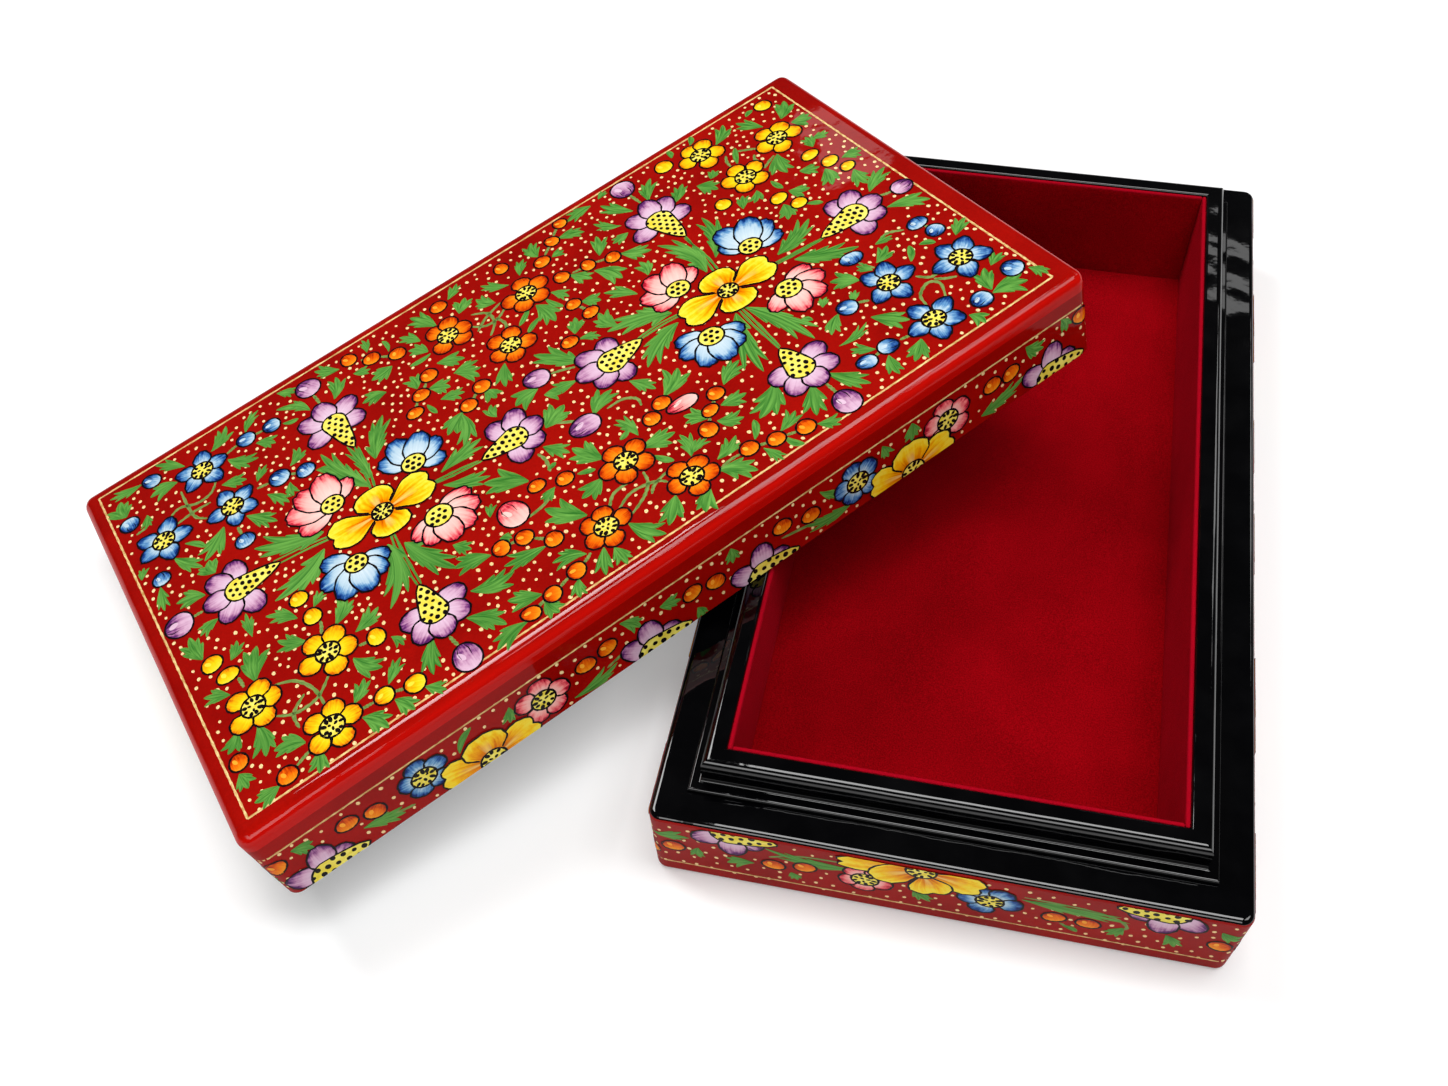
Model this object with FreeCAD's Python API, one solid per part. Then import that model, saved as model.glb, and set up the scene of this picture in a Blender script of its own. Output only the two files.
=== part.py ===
import FreeCAD, Part
import math
import os

# A lacquered keepsake box: a tray with a raised collar and a velvet lining,
# and a lift-off lid that leans on the tray with one corner on the table.
# Origin: centre of the tray's underside. X across, Y along the box, Z up.

# Driving dimensions, millimetres
box_length = 256.2
box_width = 144.0

tray_height = 29.5
tray_wall = 11.6
tray_corner_radius = 3.2
tray_foot_radius = 1.2
tray_rim_radius = 1.6
bottom_thickness = 2.4

collar_rise = 10.2
collar_thickness = 5.5
collar_outer_radius = 2.0
collar_inner_radius = 0.8
collar_step_width = 3.0
collar_step_rise = 1.5
collar_step_radius = 0.6
collar_step_cove = 0.7

lining_thickness = 1.2
lining_drop = 0.6
floor_thickness = 1.2
floor_edge_radius = 0.5

lid_height = 28.3
lid_top_thickness = 5.6
lid_edge_radius = 3.6
lid_fit_clearance = 0.6

# How the lid lies at rest: turned on the tray, one corner out on the table
lid_turn_degrees = -44.35
lid_corner_reach = 181.3
lid_centre_y = -19.6
lid_rest_gap = 0.1

# Places that follow from the driving dimensions
half_width = box_width / 2
half_length = box_length / 2
collar_half_width = half_width - tray_wall
collar_half_length = half_length - tray_wall
collar_top = tray_height + collar_rise
inside_half_width = collar_half_width - collar_thickness
inside_half_length = collar_half_length - collar_thickness
lining_top = collar_top - lining_drop
lid_wall = tray_wall - collar_step_width - lid_fit_clearance
lid_wall_height = lid_height - lid_top_thickness

X_AXIS = FreeCAD.Vector(1, 0, 0)
Y_AXIS = FreeCAD.Vector(0, 1, 0)
Z_AXIS = FreeCAD.Vector(0, 0, 1)
SIDES = ("front", "right", "back", "left")


def point(x, y, z=0.0):
    return FreeCAD.Vector(x, y, z)


def centred_box(width, length, height, z=0.0):
    return Part.makeBox(width, length, height, point(-width / 2, -length / 2, z))


def face_of(edges):
    return Part.Face(Part.Wire(edges))


def arc(start, centre, end):
    """The short arc about centre from start to end."""
    middle = (start + end) * 0.5 - centre
    middle.normalize()
    return Part.Arc(start, centre + middle * (start - centre).Length, end).toShape()


def line(start, end):
    return Part.LineSegment(start, end).toShape()


def rounded_plan(width, length, radius):
    """A rectangle in plan, with its four corners rounded."""
    plate = centred_box(width, length, 1.0)
    rounded = plate.makeFillet(radius, upright_edges(plate))
    return min(rounded.Faces, key=lambda face: face.CenterOfMass.z)


def upright_edges(block):
    return [e for e in block.Edges if e.tangentAt(e.FirstParameter).isParallel(Z_AXIS, 1e-6)]


def level_edges(block, z):
    return [e for e in block.Edges if all(abs(v.Z - z) < 1e-6 for v in e.Vertexes)]


def round_topped_board(width, length, height, radius):
    """A board whose upright edges, top edges and top corners are all rounded alike."""
    board = centred_box(width, length, height)
    return board.makeFillet(radius, upright_edges(board) + level_edges(board, height))


def mitre_wedge(side, low, high):
    """The part of the box's plan that belongs to one side, parted by mitres and the middle line."""
    overrun = tray_corner_radius
    far_x = half_width + overrun
    far_y = half_length + overrun
    ridge = half_length - half_width
    corners = {
        "front": [(-far_x, -far_y), (far_x, -far_y), (0, -ridge)],
        "right": [(far_x, -far_y), (far_x, far_y), (0, ridge), (0, -ridge)],
        "back": [(far_x, far_y), (-far_x, far_y), (0, ridge)],
        "left": [(-far_x, far_y), (-far_x, -far_y), (0, -ridge), (0, ridge)],
    }[side]
    outline = [point(x, y, low) for x, y in corners]
    return Part.Face(Part.makePolygon(outline + outline[:1])).extrude(Z_AXIS * (high - low))


def tray_bottom():
    return centred_box(2 * collar_half_width, 2 * collar_half_length, bottom_thickness)


def tray_frame():
    """The four outer walls of the tray before they are parted at the mitres."""
    block = rounded_plan(box_width, box_length, tray_corner_radius).extrude(Z_AXIS * tray_height)
    block = block.makeFillet(tray_rim_radius, level_edges(block, tray_height))
    block = block.makeFillet(tray_foot_radius, level_edges(block, 0))
    return block.cut(centred_box(2 * collar_half_width, 2 * collar_half_length, tray_height))


def collar_section():
    """Section of the collar in the XZ plane, its outer face at X = 0, outside at +X."""
    inner = -collar_thickness
    step = collar_step_width
    cove = collar_step_cove
    ledge = tray_height
    step_top = ledge + collar_step_rise
    step_round = collar_step_radius
    outer_round = collar_outer_radius
    inner_round = collar_inner_radius
    foot = point(0, 0, bottom_thickness)
    inner_top = point(inner + inner_round, 0, collar_top)
    outer_top = point(-outer_round, 0, collar_top)
    neck = point(0, 0, step_top + cove)
    cove_end = point(cove, 0, step_top)
    step_edge = point(step - step_round, 0, step_top)
    step_side = point(step, 0, step_top - step_round)
    edges = [
        line(foot, point(inner, 0, bottom_thickness)),
        line(point(inner, 0, bottom_thickness), point(inner, 0, collar_top - inner_round)),
        arc(point(inner, 0, collar_top - inner_round), inner_top - Z_AXIS * inner_round, inner_top),
        line(inner_top, outer_top),
        arc(outer_top, outer_top - Z_AXIS * outer_round, point(0, 0, collar_top - outer_round)),
        line(point(0, 0, collar_top - outer_round), neck),
        arc(neck, point(cove, 0, step_top + cove), cove_end),
        line(cove_end, step_edge),
        arc(step_edge, step_edge - Z_AXIS * step_round, step_side),
        line(step_side, point(step, 0, ledge)),
        line(point(step, 0, ledge), point(0, 0, ledge)),
        line(point(0, 0, ledge), foot),
    ]
    return face_of(edges)


def collar_strip(side):
    """One mitred strip of the collar, with the low step that meets the ledge."""
    turn = {"right": 0, "back": 90, "left": 180, "front": 270}[side]
    lengthwise = side in ("left", "right")
    run = 2 * (half_length if lengthwise else half_width)
    offset = collar_half_width if lengthwise else collar_half_length
    section = collar_section()
    section.translate(point(offset, -run / 2))
    strip = section.extrude(Y_AXIS * run)
    strip.rotate(point(0, 0), Z_AXIS, turn)
    return strip.common(mitre_wedge(side, 0, collar_top))


def lining_strip(side):
    """A velvet-covered card on one inner face of the collar; the long ones pass the short ones."""
    height = lining_top - bottom_thickness
    if side in ("left", "right"):
        strip = centred_box(lining_thickness, 2 * inside_half_length, height, bottom_thickness)
        offset = inside_half_width - lining_thickness / 2
        strip.translate(X_AXIS * (offset if side == "right" else -offset))
    else:
        width = 2 * (inside_half_width - lining_thickness)
        strip = centred_box(width, lining_thickness, height, bottom_thickness)
        offset = inside_half_length - lining_thickness / 2
        strip.translate(Y_AXIS * (offset if side == "back" else -offset))
    return strip


def lining_floor():
    """The velvet-covered board on the tray's bottom, between the lining strips."""
    width = 2 * (inside_half_width - lining_thickness)
    length = 2 * (inside_half_length - lining_thickness)
    board = round_topped_board(width, length, floor_thickness, floor_edge_radius)
    board.translate(Z_AXIS * bottom_thickness)
    return board


def lid_top_board():
    """The lid's top board, its shoulders rounded, as it lies on the closed box's lid walls."""
    board = round_topped_board(box_width, box_length, lid_top_thickness, lid_edge_radius)
    board.translate(Z_AXIS * lid_wall_height)
    return board


def lid_frame():
    """The lid's four walls before they are parted at the mitres."""
    block = rounded_plan(box_width, box_length, lid_edge_radius).extrude(Z_AXIS * lid_wall_height)
    hollow = centred_box(box_width - 2 * lid_wall, box_length - 2 * lid_wall, lid_wall_height)
    return block.cut(hollow)


def lid_rest_placement():
    """Where the lid leans: its plane touches the left collar's rounded edge and the table."""
    turn = math.radians(lid_turn_degrees)
    corner_x = -(half_width - lid_edge_radius)
    corner_y = -(half_length - lid_edge_radius)
    lowest = corner_x * math.cos(turn) - corner_y * math.sin(turn) - lid_edge_radius
    table_x = -half_width - lid_corner_reach
    edge_x = -collar_half_width + collar_outer_radius
    edge_z = collar_top - collar_outer_radius
    reach = math.hypot(edge_x - table_x, edge_z)
    tilt = math.atan2(edge_z, edge_x - table_x)
    tilt += math.asin((collar_outer_radius + lid_rest_gap) / reach)
    middle = point(table_x - lowest * math.cos(tilt), lid_centre_y, -lowest * math.sin(tilt))
    lean = FreeCAD.Rotation(Y_AXIS, -math.degrees(tilt))
    return FreeCAD.Placement(middle, lean.multiply(FreeCAD.Rotation(Z_AXIS, lid_turn_degrees)))


def save(name, shape):
    solid = shape.Solids[0]
    if len(shape.Solids) != 1 or not solid.isValid():
        raise ValueError(name + " is not one sound solid")
    solid.exportStep(os.path.join("parts", name + ".step"))
    print(name, round(solid.Volume / 1000, 2), "cm3")


def save_tray():
    save("tray_bottom", tray_bottom())
    frame = tray_frame()
    for side in SIDES:
        save("tray_wall_" + side, frame.common(mitre_wedge(side, 0, tray_height)))
        save("collar_" + side, collar_strip(side))
        save("velvet_lining_" + side, lining_strip(side))
    save("velvet_floor", lining_floor())


def save_lid():
    rest = lid_rest_placement()
    frame = lid_frame()
    pieces = {"lid_top": lid_top_board()}
    for side in SIDES:
        pieces["lid_wall_" + side] = frame.common(mitre_wedge(side, 0, lid_wall_height))
    for name, piece in pieces.items():
        piece.Placement = rest.multiply(piece.Placement)
        save(name, piece)


os.makedirs("parts", exist_ok=True)
save_tray()
save_lid()
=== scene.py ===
import bmesh
import bpy
import math
import random
from mathutils import Matrix, Vector


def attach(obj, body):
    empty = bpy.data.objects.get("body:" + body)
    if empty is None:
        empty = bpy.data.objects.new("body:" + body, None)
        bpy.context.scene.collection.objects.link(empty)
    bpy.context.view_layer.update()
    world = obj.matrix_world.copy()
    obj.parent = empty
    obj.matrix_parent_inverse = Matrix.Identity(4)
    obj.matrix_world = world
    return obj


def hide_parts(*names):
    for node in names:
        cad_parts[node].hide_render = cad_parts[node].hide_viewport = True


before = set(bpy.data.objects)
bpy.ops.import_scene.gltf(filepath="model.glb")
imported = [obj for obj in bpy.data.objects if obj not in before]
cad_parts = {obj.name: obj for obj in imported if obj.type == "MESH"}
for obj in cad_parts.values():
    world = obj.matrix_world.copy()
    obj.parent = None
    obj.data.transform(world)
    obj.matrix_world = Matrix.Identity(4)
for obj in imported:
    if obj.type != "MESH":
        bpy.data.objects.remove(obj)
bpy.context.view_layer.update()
mm = 0.001

# The box's sizes in millimetres, as the frame was built
box = {
    "length": 256.2,
    "width": 144.0,
    "trayCorner": 3.2,
    "lidCorner": 3.6,
    "wall": 11.6,
    "trayHeight": 29.5,
    "collarTop": 39.7,
    "collarThickness": 5.5,
    "collarRound": 2.0,
    "bottom": 2.4,
    "lining": 1.2,
    "liningTop": 39.1,
    "floorTop": 3.6,
    "lidHeight": 28.3,
    "lidWall": 8.0,
    "lidWallHeight": 22.7,
    "lidShoulder": 3.6,
    "lidTurn": -44.35,
    "lidReach": 181.3,
    "lidMiddleY": -19.6,
    "lidGap": 0.1,
}
halfWidth = box["width"] / 2
halfLength = box["length"] / 2
insideX = halfWidth - box["wall"] - box["collarThickness"]
insideY = halfLength - box["wall"] - box["collarThickness"]
longSides = ("left", "right")


def lidPlacement():
    # the lid leans on the left collar with one corner on the table
    turn = math.radians(box["lidTurn"])
    cornerX = -(halfWidth - box["lidCorner"])
    cornerY = -(halfLength - box["lidCorner"])
    lowest = cornerX * math.cos(turn) - cornerY * math.sin(turn) - box["lidCorner"]
    tableX = -halfWidth - box["lidReach"]
    edgeX = -halfWidth + box["wall"] + box["collarRound"]
    edgeZ = box["collarTop"] - box["collarRound"]
    span = math.hypot(edgeX - tableX, edgeZ)
    tilt = math.atan2(edgeZ, edgeX - tableX)
    tilt += math.asin((box["collarRound"] + box["lidGap"]) / span)
    middle = Vector((tableX - lowest * math.cos(tilt), box["lidMiddleY"], -lowest * math.sin(tilt)))
    lean = Matrix.Rotation(-tilt, 4, "Y") @ Matrix.Rotation(turn, 4, "Z")
    return Matrix.Translation(middle) @ lean


lidFrame = lidPlacement()
print("frame loaded, lid at", [round(v, 2) for v in lidFrame.translation])


# Colours are written as they look on screen, 0 to 255
def tone(red, green, blue):
    def straight(c):
        c /= 255
        return c / 12.92 if c <= 0.04045 else ((c + 0.055) / 1.055) ** 2.4
    return (straight(red), straight(green), straight(blue), 1.0)


def add(tree, kind, **settings):
    made = tree.nodes.new("ShaderNode" + kind)
    for name, value in settings.items():
        setattr(made, name, value)
    return made


def join(tree, source, target):
    tree.links.new(source, target)


def feed(tree, socket, value):
    # a plain number or colour is set on the socket, anything else is linked to it
    if isinstance(value, (int, float, tuple)):
        socket.default_value = value
    else:
        join(tree, value, socket)


def fix(node, values):
    for name, value in values.items():
        node.inputs[name].default_value = value


def newTree(name):
    finish = bpy.data.materials.new(name)
    finish.use_nodes = True
    tree = finish.node_tree
    tree.nodes.clear()
    return finish, tree, add(tree, "OutputMaterial")


def newFinish(name):
    finish, tree, output = newTree(name)
    skin = add(tree, "BsdfPrincipled")
    join(tree, skin.outputs["BSDF"], output.inputs["Surface"])
    place = add(tree, "TexCoord").outputs["Object"]
    return finish, tree, skin, place


def newObject(name, data):
    made = bpy.data.objects.new(name, data)
    bpy.context.scene.collection.objects.link(made)
    return made


def newPiece(name, shape, finish):
    mesh = bpy.data.meshes.new(name)
    shape.to_mesh(mesh)
    shape.free()
    mesh.materials.append(finish)
    return newObject(name, mesh)


def maths(tree, kind, first, second=0.0):
    made = add(tree, "Math", operation=kind)
    feed(tree, made.inputs[0], first)
    feed(tree, made.inputs[1], second)
    return made.outputs[0]


def plus(tree, first, second):
    return maths(tree, "ADD", first, second)


def times(tree, first, second):
    return maths(tree, "MULTIPLY", first, second)


def offMiddle(tree, value, strength):
    # swings a 0 to 1 value about zero
    return times(tree, maths(tree, "SUBTRACT", value, 0.5), strength)


def split(tree, vector):
    made = add(tree, "SeparateXYZ")
    join(tree, vector, made.inputs[0])
    return made.outputs


def ramp(tree, factor, stops):
    made = add(tree, "ValToRGB")
    bar = made.color_ramp
    while len(bar.elements) < len(stops):
        bar.elements.new(0.5)
    for element, (place, colour) in zip(bar.elements, stops):
        element.position = place
        element.color = colour
    join(tree, factor, made.inputs["Fac"])
    return made.outputs["Color"]


def twoTone(tree, factor, dark, light, low=0.3, high=0.7):
    return ramp(tree, factor, [(low, tone(*dark)), (high, tone(*light))])


def noise(tree, vector, scale, detail, rough=0.5):
    made = add(tree, "TexNoise")
    fix(made, {"Scale": scale, "Detail": detail, "Roughness": rough})
    join(tree, vector, made.inputs["Vector"])
    return made.outputs["Fac"]


def blendColours(tree, factor, first, second, kind="MIX"):
    made = add(tree, "Mix", data_type="RGBA", blend_type=kind)
    for spot, value in ((0, factor), (6, first), (7, second)):  # the colour sockets of a mix
        feed(tree, made.inputs[spot], value)
    return made.outputs[2]


def mapRange(tree, value, ends):
    made = add(tree, "MapRange", clamp=True)
    join(tree, value, made.inputs["Value"])
    fix(made, ends)
    return made.outputs["Result"]


def step(tree, value, low, high):
    return mapRange(tree, value, {"From Min": low, "From Max": high})


def between(tree, factor, low, high):
    return mapRange(tree, factor, {"To Min": low, "To Max": high})


def bumpFrom(tree, height, strength, distance):
    made = add(tree, "Bump")
    fix(made, {"Strength": strength, "Distance": distance})
    join(tree, height, made.inputs["Height"])
    return made.outputs["Normal"]


# Lacquer: colours, clear coats and wear; lengths in metres, drops and margins in millimetres.
# Here and below a noise is its scale, detail and roughness
lacquer = {
    "redDark": (142, 6, 3),
    "redLight": (170, 13, 5),
    # painted highlight: the brighter red laid on the lid's rounded shoulders
    "shoulderHighlightRed": (206, 13, 6),
    "redCloud": (38.0, 4.0, 0.6),
    "grain": (1400.0, 2.0),
    "grainStops": (0.3, 0.7),
    "grainShade": 0.8,
    "grainShare": 0.6,
    "worn": (74, 14, 8),
    "wornShare": 0.7,
    "chips": (420.0, 5.0, 0.65),
    "chipEdge": (0.57, 0.63),
    "footWear": (0.0011, 0.0003),
    "skirtWear": (0.0009, 0.0002),
    "black": (2, 2, 3),
    "blackLight": (7, 7, 8),
    "blackCloud": (90.0, 4.0),
    "blackStops": (0.4, 0.75),
    "blackDrop": 0.75,
    "rim": (120.0, 3.0),
    "rimWander": 0.0004,
    "rimSoft": 0.00004,
    "skirtEdge": 0.00004,
    "insideMargin": 0.3,
    "topCoat": 1.0,
    "sideCoat": 0.18,
    "paintCoat": 0.2,
    "coatRoughness": 0.04,
    "undercoatRoughness": (0.32, 0.5),
    "gloss": (210.0, 3.0),
    "ripple": 0.0004,
    "slowRipple": (55.0, 1.0),
    "quickRipple": (260.0, 2.0),
    "quickShare": 0.05,
}
# The lid's shoulders: where each effect starts and is full, in millimetres under the top
shoulders = {
    # painted highlight: where the brighter shoulder red starts and is full
    "shoulderHighlight": (0.3, 1.4),
    "shoulderHighlightShare": 0.75,
    "thick": (3.2, 1.8),
    "flat": (0.12, 0.02),
    "thinCoat": 0.22,
    "thickCoat": 0.26,
    "flatCoat": 0.52,
    "brushed": (0.1, 0.7),
    "longSide": 5.0,
    "grooves": (2000.0, 1.5),
    "grooveStretch": 0.012,
    "grooveDepth": 0.13,
}


def lacquerSkin(tree, skin, place, colour, coat, brushed=None):
    # hand-rubbed clear coat: slow and quick ripples, a little uneven gloss
    join(tree, colour, skin.inputs["Base Color"])
    feed(tree, skin.inputs["Coat Weight"], coat)
    fix(skin, {"Coat Roughness": lacquer["coatRoughness"], "Specular IOR Level": 0.0})
    gloss = noise(tree, place, *lacquer["gloss"])
    join(tree, between(tree, gloss, *lacquer["undercoatRoughness"]), skin.inputs["Roughness"])
    quick = times(tree, noise(tree, place, *lacquer["quickRipple"]), lacquer["quickShare"])
    waves = plus(tree, noise(tree, place, *lacquer["slowRipple"]), quick)
    plain = bumpFrom(tree, waves, 1.0, lacquer["ripple"])
    join(tree, plain, skin.inputs["Normal"])
    glaze = plain
    if brushed is not None:
        glaze = bumpFrom(tree, plus(tree, waves, brushed), 1.0, lacquer["ripple"])
    join(tree, glaze, skin.inputs["Coat Normal"])


def rubbed(tree, place, colour, edge):
    # small chips where hands and the table have rubbed the edge
    chips = step(tree, noise(tree, place, *lacquer["chips"]), *lacquer["chipEdge"])
    worn = times(tree, times(tree, chips, edge), lacquer["wornShare"])
    return blendColours(tree, worn, colour, tone(*lacquer["worn"]))


def redPaint(tree, place):
    cloud = noise(tree, place, *lacquer["redCloud"])
    colour = twoTone(tree, cloud, lacquer["redDark"], lacquer["redLight"])
    grain = noise(tree, place, *lacquer["grain"])
    shade = lacquer["grainShade"]
    low, high = lacquer["grainStops"]
    speck = ramp(tree, grain, [(low, (shade, shade, shade, 1.0)), (high, (1.0, 1.0, 1.0, 1.0))])
    return blendColours(tree, lacquer["grainShare"], colour, speck, "MULTIPLY")


def blackPaint(tree, place):
    cloud = noise(tree, place, *lacquer["blackCloud"])
    return twoTone(tree, cloud, lacquer["black"], lacquer["blackLight"], *lacquer["blackStops"])


def trayWallFinish():
    # red outside, black from over the rim inwards, along a hand-drawn line
    finish, tree, skin, place = newFinish("tray_lacquer")
    height = split(tree, place)["Z"]
    edge = plus(tree, height, times(tree, noise(tree, place, *lacquer["rim"]), lacquer["rimWander"]))
    level = (box["trayHeight"] - lacquer["blackDrop"]) * mm + lacquer["rimWander"] / 2
    ledge = step(tree, edge, level - lacquer["rimSoft"], level + lacquer["rimSoft"])
    foot = step(tree, height, *lacquer["footWear"])
    red = rubbed(tree, place, redPaint(tree, place), foot)
    colour = blendColours(tree, ledge, red, blackPaint(tree, place))
    coat = between(tree, ledge, lacquer["sideCoat"], lacquer["topCoat"])
    lacquerSkin(tree, skin, place, colour, coat)
    return finish


def lidFinish(name, isTop):
    # red outside, black inside and under the skirt, told apart in the lid's own axes
    finish, tree, skin, place = newFinish(name)
    own = add(tree, "Mapping", vector_type="TEXTURE")
    fix(own, {"Location": lidFrame.translation * mm, "Rotation": lidFrame.to_euler("XYZ")})
    join(tree, place, own.inputs["Vector"])
    parts = split(tree, own.outputs["Vector"])
    height = parts["Z"]
    offX = maths(tree, "ABSOLUTE", parts["X"])
    offY = maths(tree, "ABSOLUTE", parts["Y"])

    def under(value, limit):
        return maths(tree, "LESS_THAN", value, limit)

    def downFromTop(start, full):
        return step(tree, height, (box["lidHeight"] - start) * mm, (box["lidHeight"] - full) * mm)

    margin = lacquer["insideMargin"]
    withinX = under(offX, (halfWidth - box["lidWall"] + margin) * mm)
    withinY = under(offY, (halfLength - box["lidWall"] + margin) * mm)
    below = under(height, (box["lidWallHeight"] + margin) * mm)
    inside = times(tree, times(tree, withinX, withinY), below)
    black = maths(tree, "MAXIMUM", inside, under(height, lacquer["skirtEdge"]))
    red = rubbed(tree, place, redPaint(tree, place), step(tree, height, *lacquer["skirtWear"]))
    coat, brushed = lacquer["sideCoat"], None
    if isTop:
        # painted highlight: the shoulders are painted a brighter red where the rounded lacquer catches more
        # light; its clear coat thins down the side
        shoulderHighlight = times(tree, downFromTop(*shoulders["shoulderHighlight"]), shoulders["shoulderHighlightShare"])
        red = blendColours(tree, shoulderHighlight, red, tone(*lacquer["shoulderHighlightRed"]))
        thick = times(tree, downFromTop(*shoulders["thick"]), shoulders["thickCoat"])
        flat = times(tree, downFromTop(*shoulders["flat"]), shoulders["flatCoat"])
        coat = plus(tree, plus(tree, thick, flat), shoulders["thinCoat"])
        # the shoulders keep lengthwise marks of the polishing cloth
        along = add(tree, "Mapping")
        along.inputs["Scale"].default_value = (1.0, shoulders["grooveStretch"], 1.0)
        join(tree, own.outputs["Vector"], along.inputs["Vector"])
        longSide = maths(tree, "GREATER_THAN", offX, (halfWidth - shoulders["longSide"]) * mm)
        grooves = noise(tree, along.outputs["Vector"], *shoulders["grooves"])
        brushed = times(tree, downFromTop(*shoulders["brushed"]), longSide)
        brushed = times(tree, brushed, times(tree, grooves, shoulders["grooveDepth"]))
    colour = blendColours(tree, black, red, blackPaint(tree, place))
    lacquerSkin(tree, skin, place, colour, coat, brushed)
    return finish


def blackFinish():
    finish, tree, skin, place = newFinish("black_lacquer")
    lacquerSkin(tree, skin, place, blackPaint(tree, place), lacquer["topCoat"])
    return finish


# Brush colours, from the heart of a petal to its tip
petalTones = {
    "blue": [(0.0, (212, 226, 234)), (0.46, (176, 203, 220)), (0.66, (98, 149, 195)), (0.86, (38, 84, 152)),
             (1.0, (12, 36, 98))],
    "pink": [(0.0, (254, 212, 202)), (0.48, (252, 178, 170)), (0.72, (244, 124, 126)), (0.9, (218, 60, 78)),
             (1.0, (170, 22, 44))],
    "mauve": [(0.0, (232, 206, 224)), (0.5, (214, 172, 198)), (0.74, (182, 126, 164)), (0.9, (126, 66, 124)),
              (1.0, (84, 32, 92))],
    "gold": [(0.0, (196, 74, 0)), (0.28, (230, 126, 0)), (0.52, (249, 174, 6)), (0.76, (255, 210, 28)),
             (1.0, (255, 226, 64))],
    "yellow": [(0.0, (255, 226, 66)), (0.46, (252, 208, 20)), (0.78, (246, 172, 12)), (1.0, (212, 100, 8))],
    "orange": [(0.0, (252, 176, 52)), (0.4, (243, 134, 18)), (0.72, (226, 92, 8)), (1.0, (172, 36, 4))],
}
# How a petal's colours wander off their even blend
petalBlend = {
    "hair": (13.0, 1.2),
    "hairNoise": (1.0, 2.0),
    "hairShift": 0.58,
    "goldHairShift": 1.0,
    "rimPower": 3.0,
    "rimShift": 0.24,
    "dabNoise": (620.0, 2.0),
    "dabShift": 0.7,
    "dabs": (0.2, 0.8),
    "lickWidth": 0.004,
    "lickRun": (0.72, 0.3),
    "lick": (255, 238, 140),
    "lickShare": 0.5,
    "spread": 60.0,
}
# One pot of paint each: name, dark, light, streaks across and along
flatPaints = {
    "leaf": ("leaf_green", (50, 114, 40), (108, 168, 74), 4.0, 1.5),
    "stem": ("stem_olive", (86, 122, 54), (136, 158, 88), 2.0, 6.0),
    "ink": ("outline_ink", (10, 8, 10), (26, 20, 22), 3.0, 6.0),
    "eye": ("flower_eye_yellow", (234, 210, 60), (250, 238, 118), 4.0, 4.0),
    "dot": ("cream_dot", (234, 188, 120), (254, 232, 178), 3.0, 3.0),
    "goldLine": ("gold_hairline", (190, 140, 76), (248, 220, 154), 1.0, 90.0),
}
marksMap = "OFBake"  # across and along each brush mark


def streaks(tree, marks, place, across, along):
    stretched = add(tree, "Mapping")
    stretched.inputs["Scale"].default_value = (across, along, 1.0)
    join(tree, marks, stretched.inputs["Vector"])
    shifted = add(tree, "VectorMath", operation="MULTIPLY_ADD")
    join(tree, place, shifted.inputs[0])
    shifted.inputs[1].default_value = (petalBlend["spread"],) * 3
    join(tree, stretched.outputs["Vector"], shifted.inputs[2])
    return noise(tree, shifted.outputs["Vector"], *petalBlend["hairNoise"])


def petalFinish(kind):
    finish, tree, skin, place = newFinish(kind + "_petal")
    marks = add(tree, "UVMap", uv_map=marksMap).outputs["UV"]
    parts = split(tree, marks)
    across, along = parts["X"], parts["Y"]
    hair = streaks(tree, marks, place, *petalBlend["hair"])
    shift = offMiddle(tree, hair, petalBlend["goldHairShift" if kind == "gold" else "hairShift"])
    rim = maths(tree, "ABSOLUTE", maths(tree, "SUBTRACT", across, 0.5))
    rim = maths(tree, "POWER", times(tree, rim, 2.0), petalBlend["rimPower"])
    rim = times(tree, rim, petalBlend["rimShift"])
    # loose dabs of the deeper colour where the brush was set down
    dabs = offMiddle(tree, noise(tree, place, *petalBlend["dabNoise"]), petalBlend["dabShift"])
    shift = plus(tree, shift, times(tree, dabs, step(tree, along, *petalBlend["dabs"])))
    drawn = plus(tree, plus(tree, along, shift), rim)
    colour = ramp(tree, drawn, [(spot, tone(*c)) for spot, c in petalTones[kind]])
    if kind == "gold":
        # a pale lick of paint up the middle of each gold petal
        middle = step(tree, rim, petalBlend["lickWidth"], 0.0)
        lick = times(tree, middle, step(tree, along, *petalBlend["lickRun"]))
        lick = times(tree, lick, petalBlend["lickShare"])
        colour = blendColours(tree, lick, colour, tone(*petalBlend["lick"]))
    lacquerSkin(tree, skin, place, colour, lacquer["paintCoat"])
    return finish


def flatPaint(name, dark, light, across, along):
    # thinner and thicker along the stroke
    finish, tree, skin, place = newFinish(name)
    marks = add(tree, "UVMap", uv_map=marksMap).outputs["UV"]
    hair = streaks(tree, marks, place, across, along)
    lacquerSkin(tree, skin, place, twoTone(tree, hair, dark, light), lacquer["paintCoat"])
    return finish


paints = {kind: petalFinish(kind) for kind in petalTones}
for coat, recipe in flatPaints.items():
    paints[coat] = flatPaint(*recipe)
print("paints mixed:", len(paints))


# Painting tools: every mark is a small patch laid on a panel of the box, in millimetres
brush = {
    "layer": 0.008,
    "inkWidth": 0.56,
    "wobble": 0.22,
    "wobbleRun": 2.1,
    "thinEnd": 0.35,
    "leafLift": 0.045,
    "stemLift": 0.035,
    "stemRoom": 0.7,
    "dotLift": 0.03,
    "flowerLift": 0.09,
    "crownLift": 0.21,
}
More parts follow.
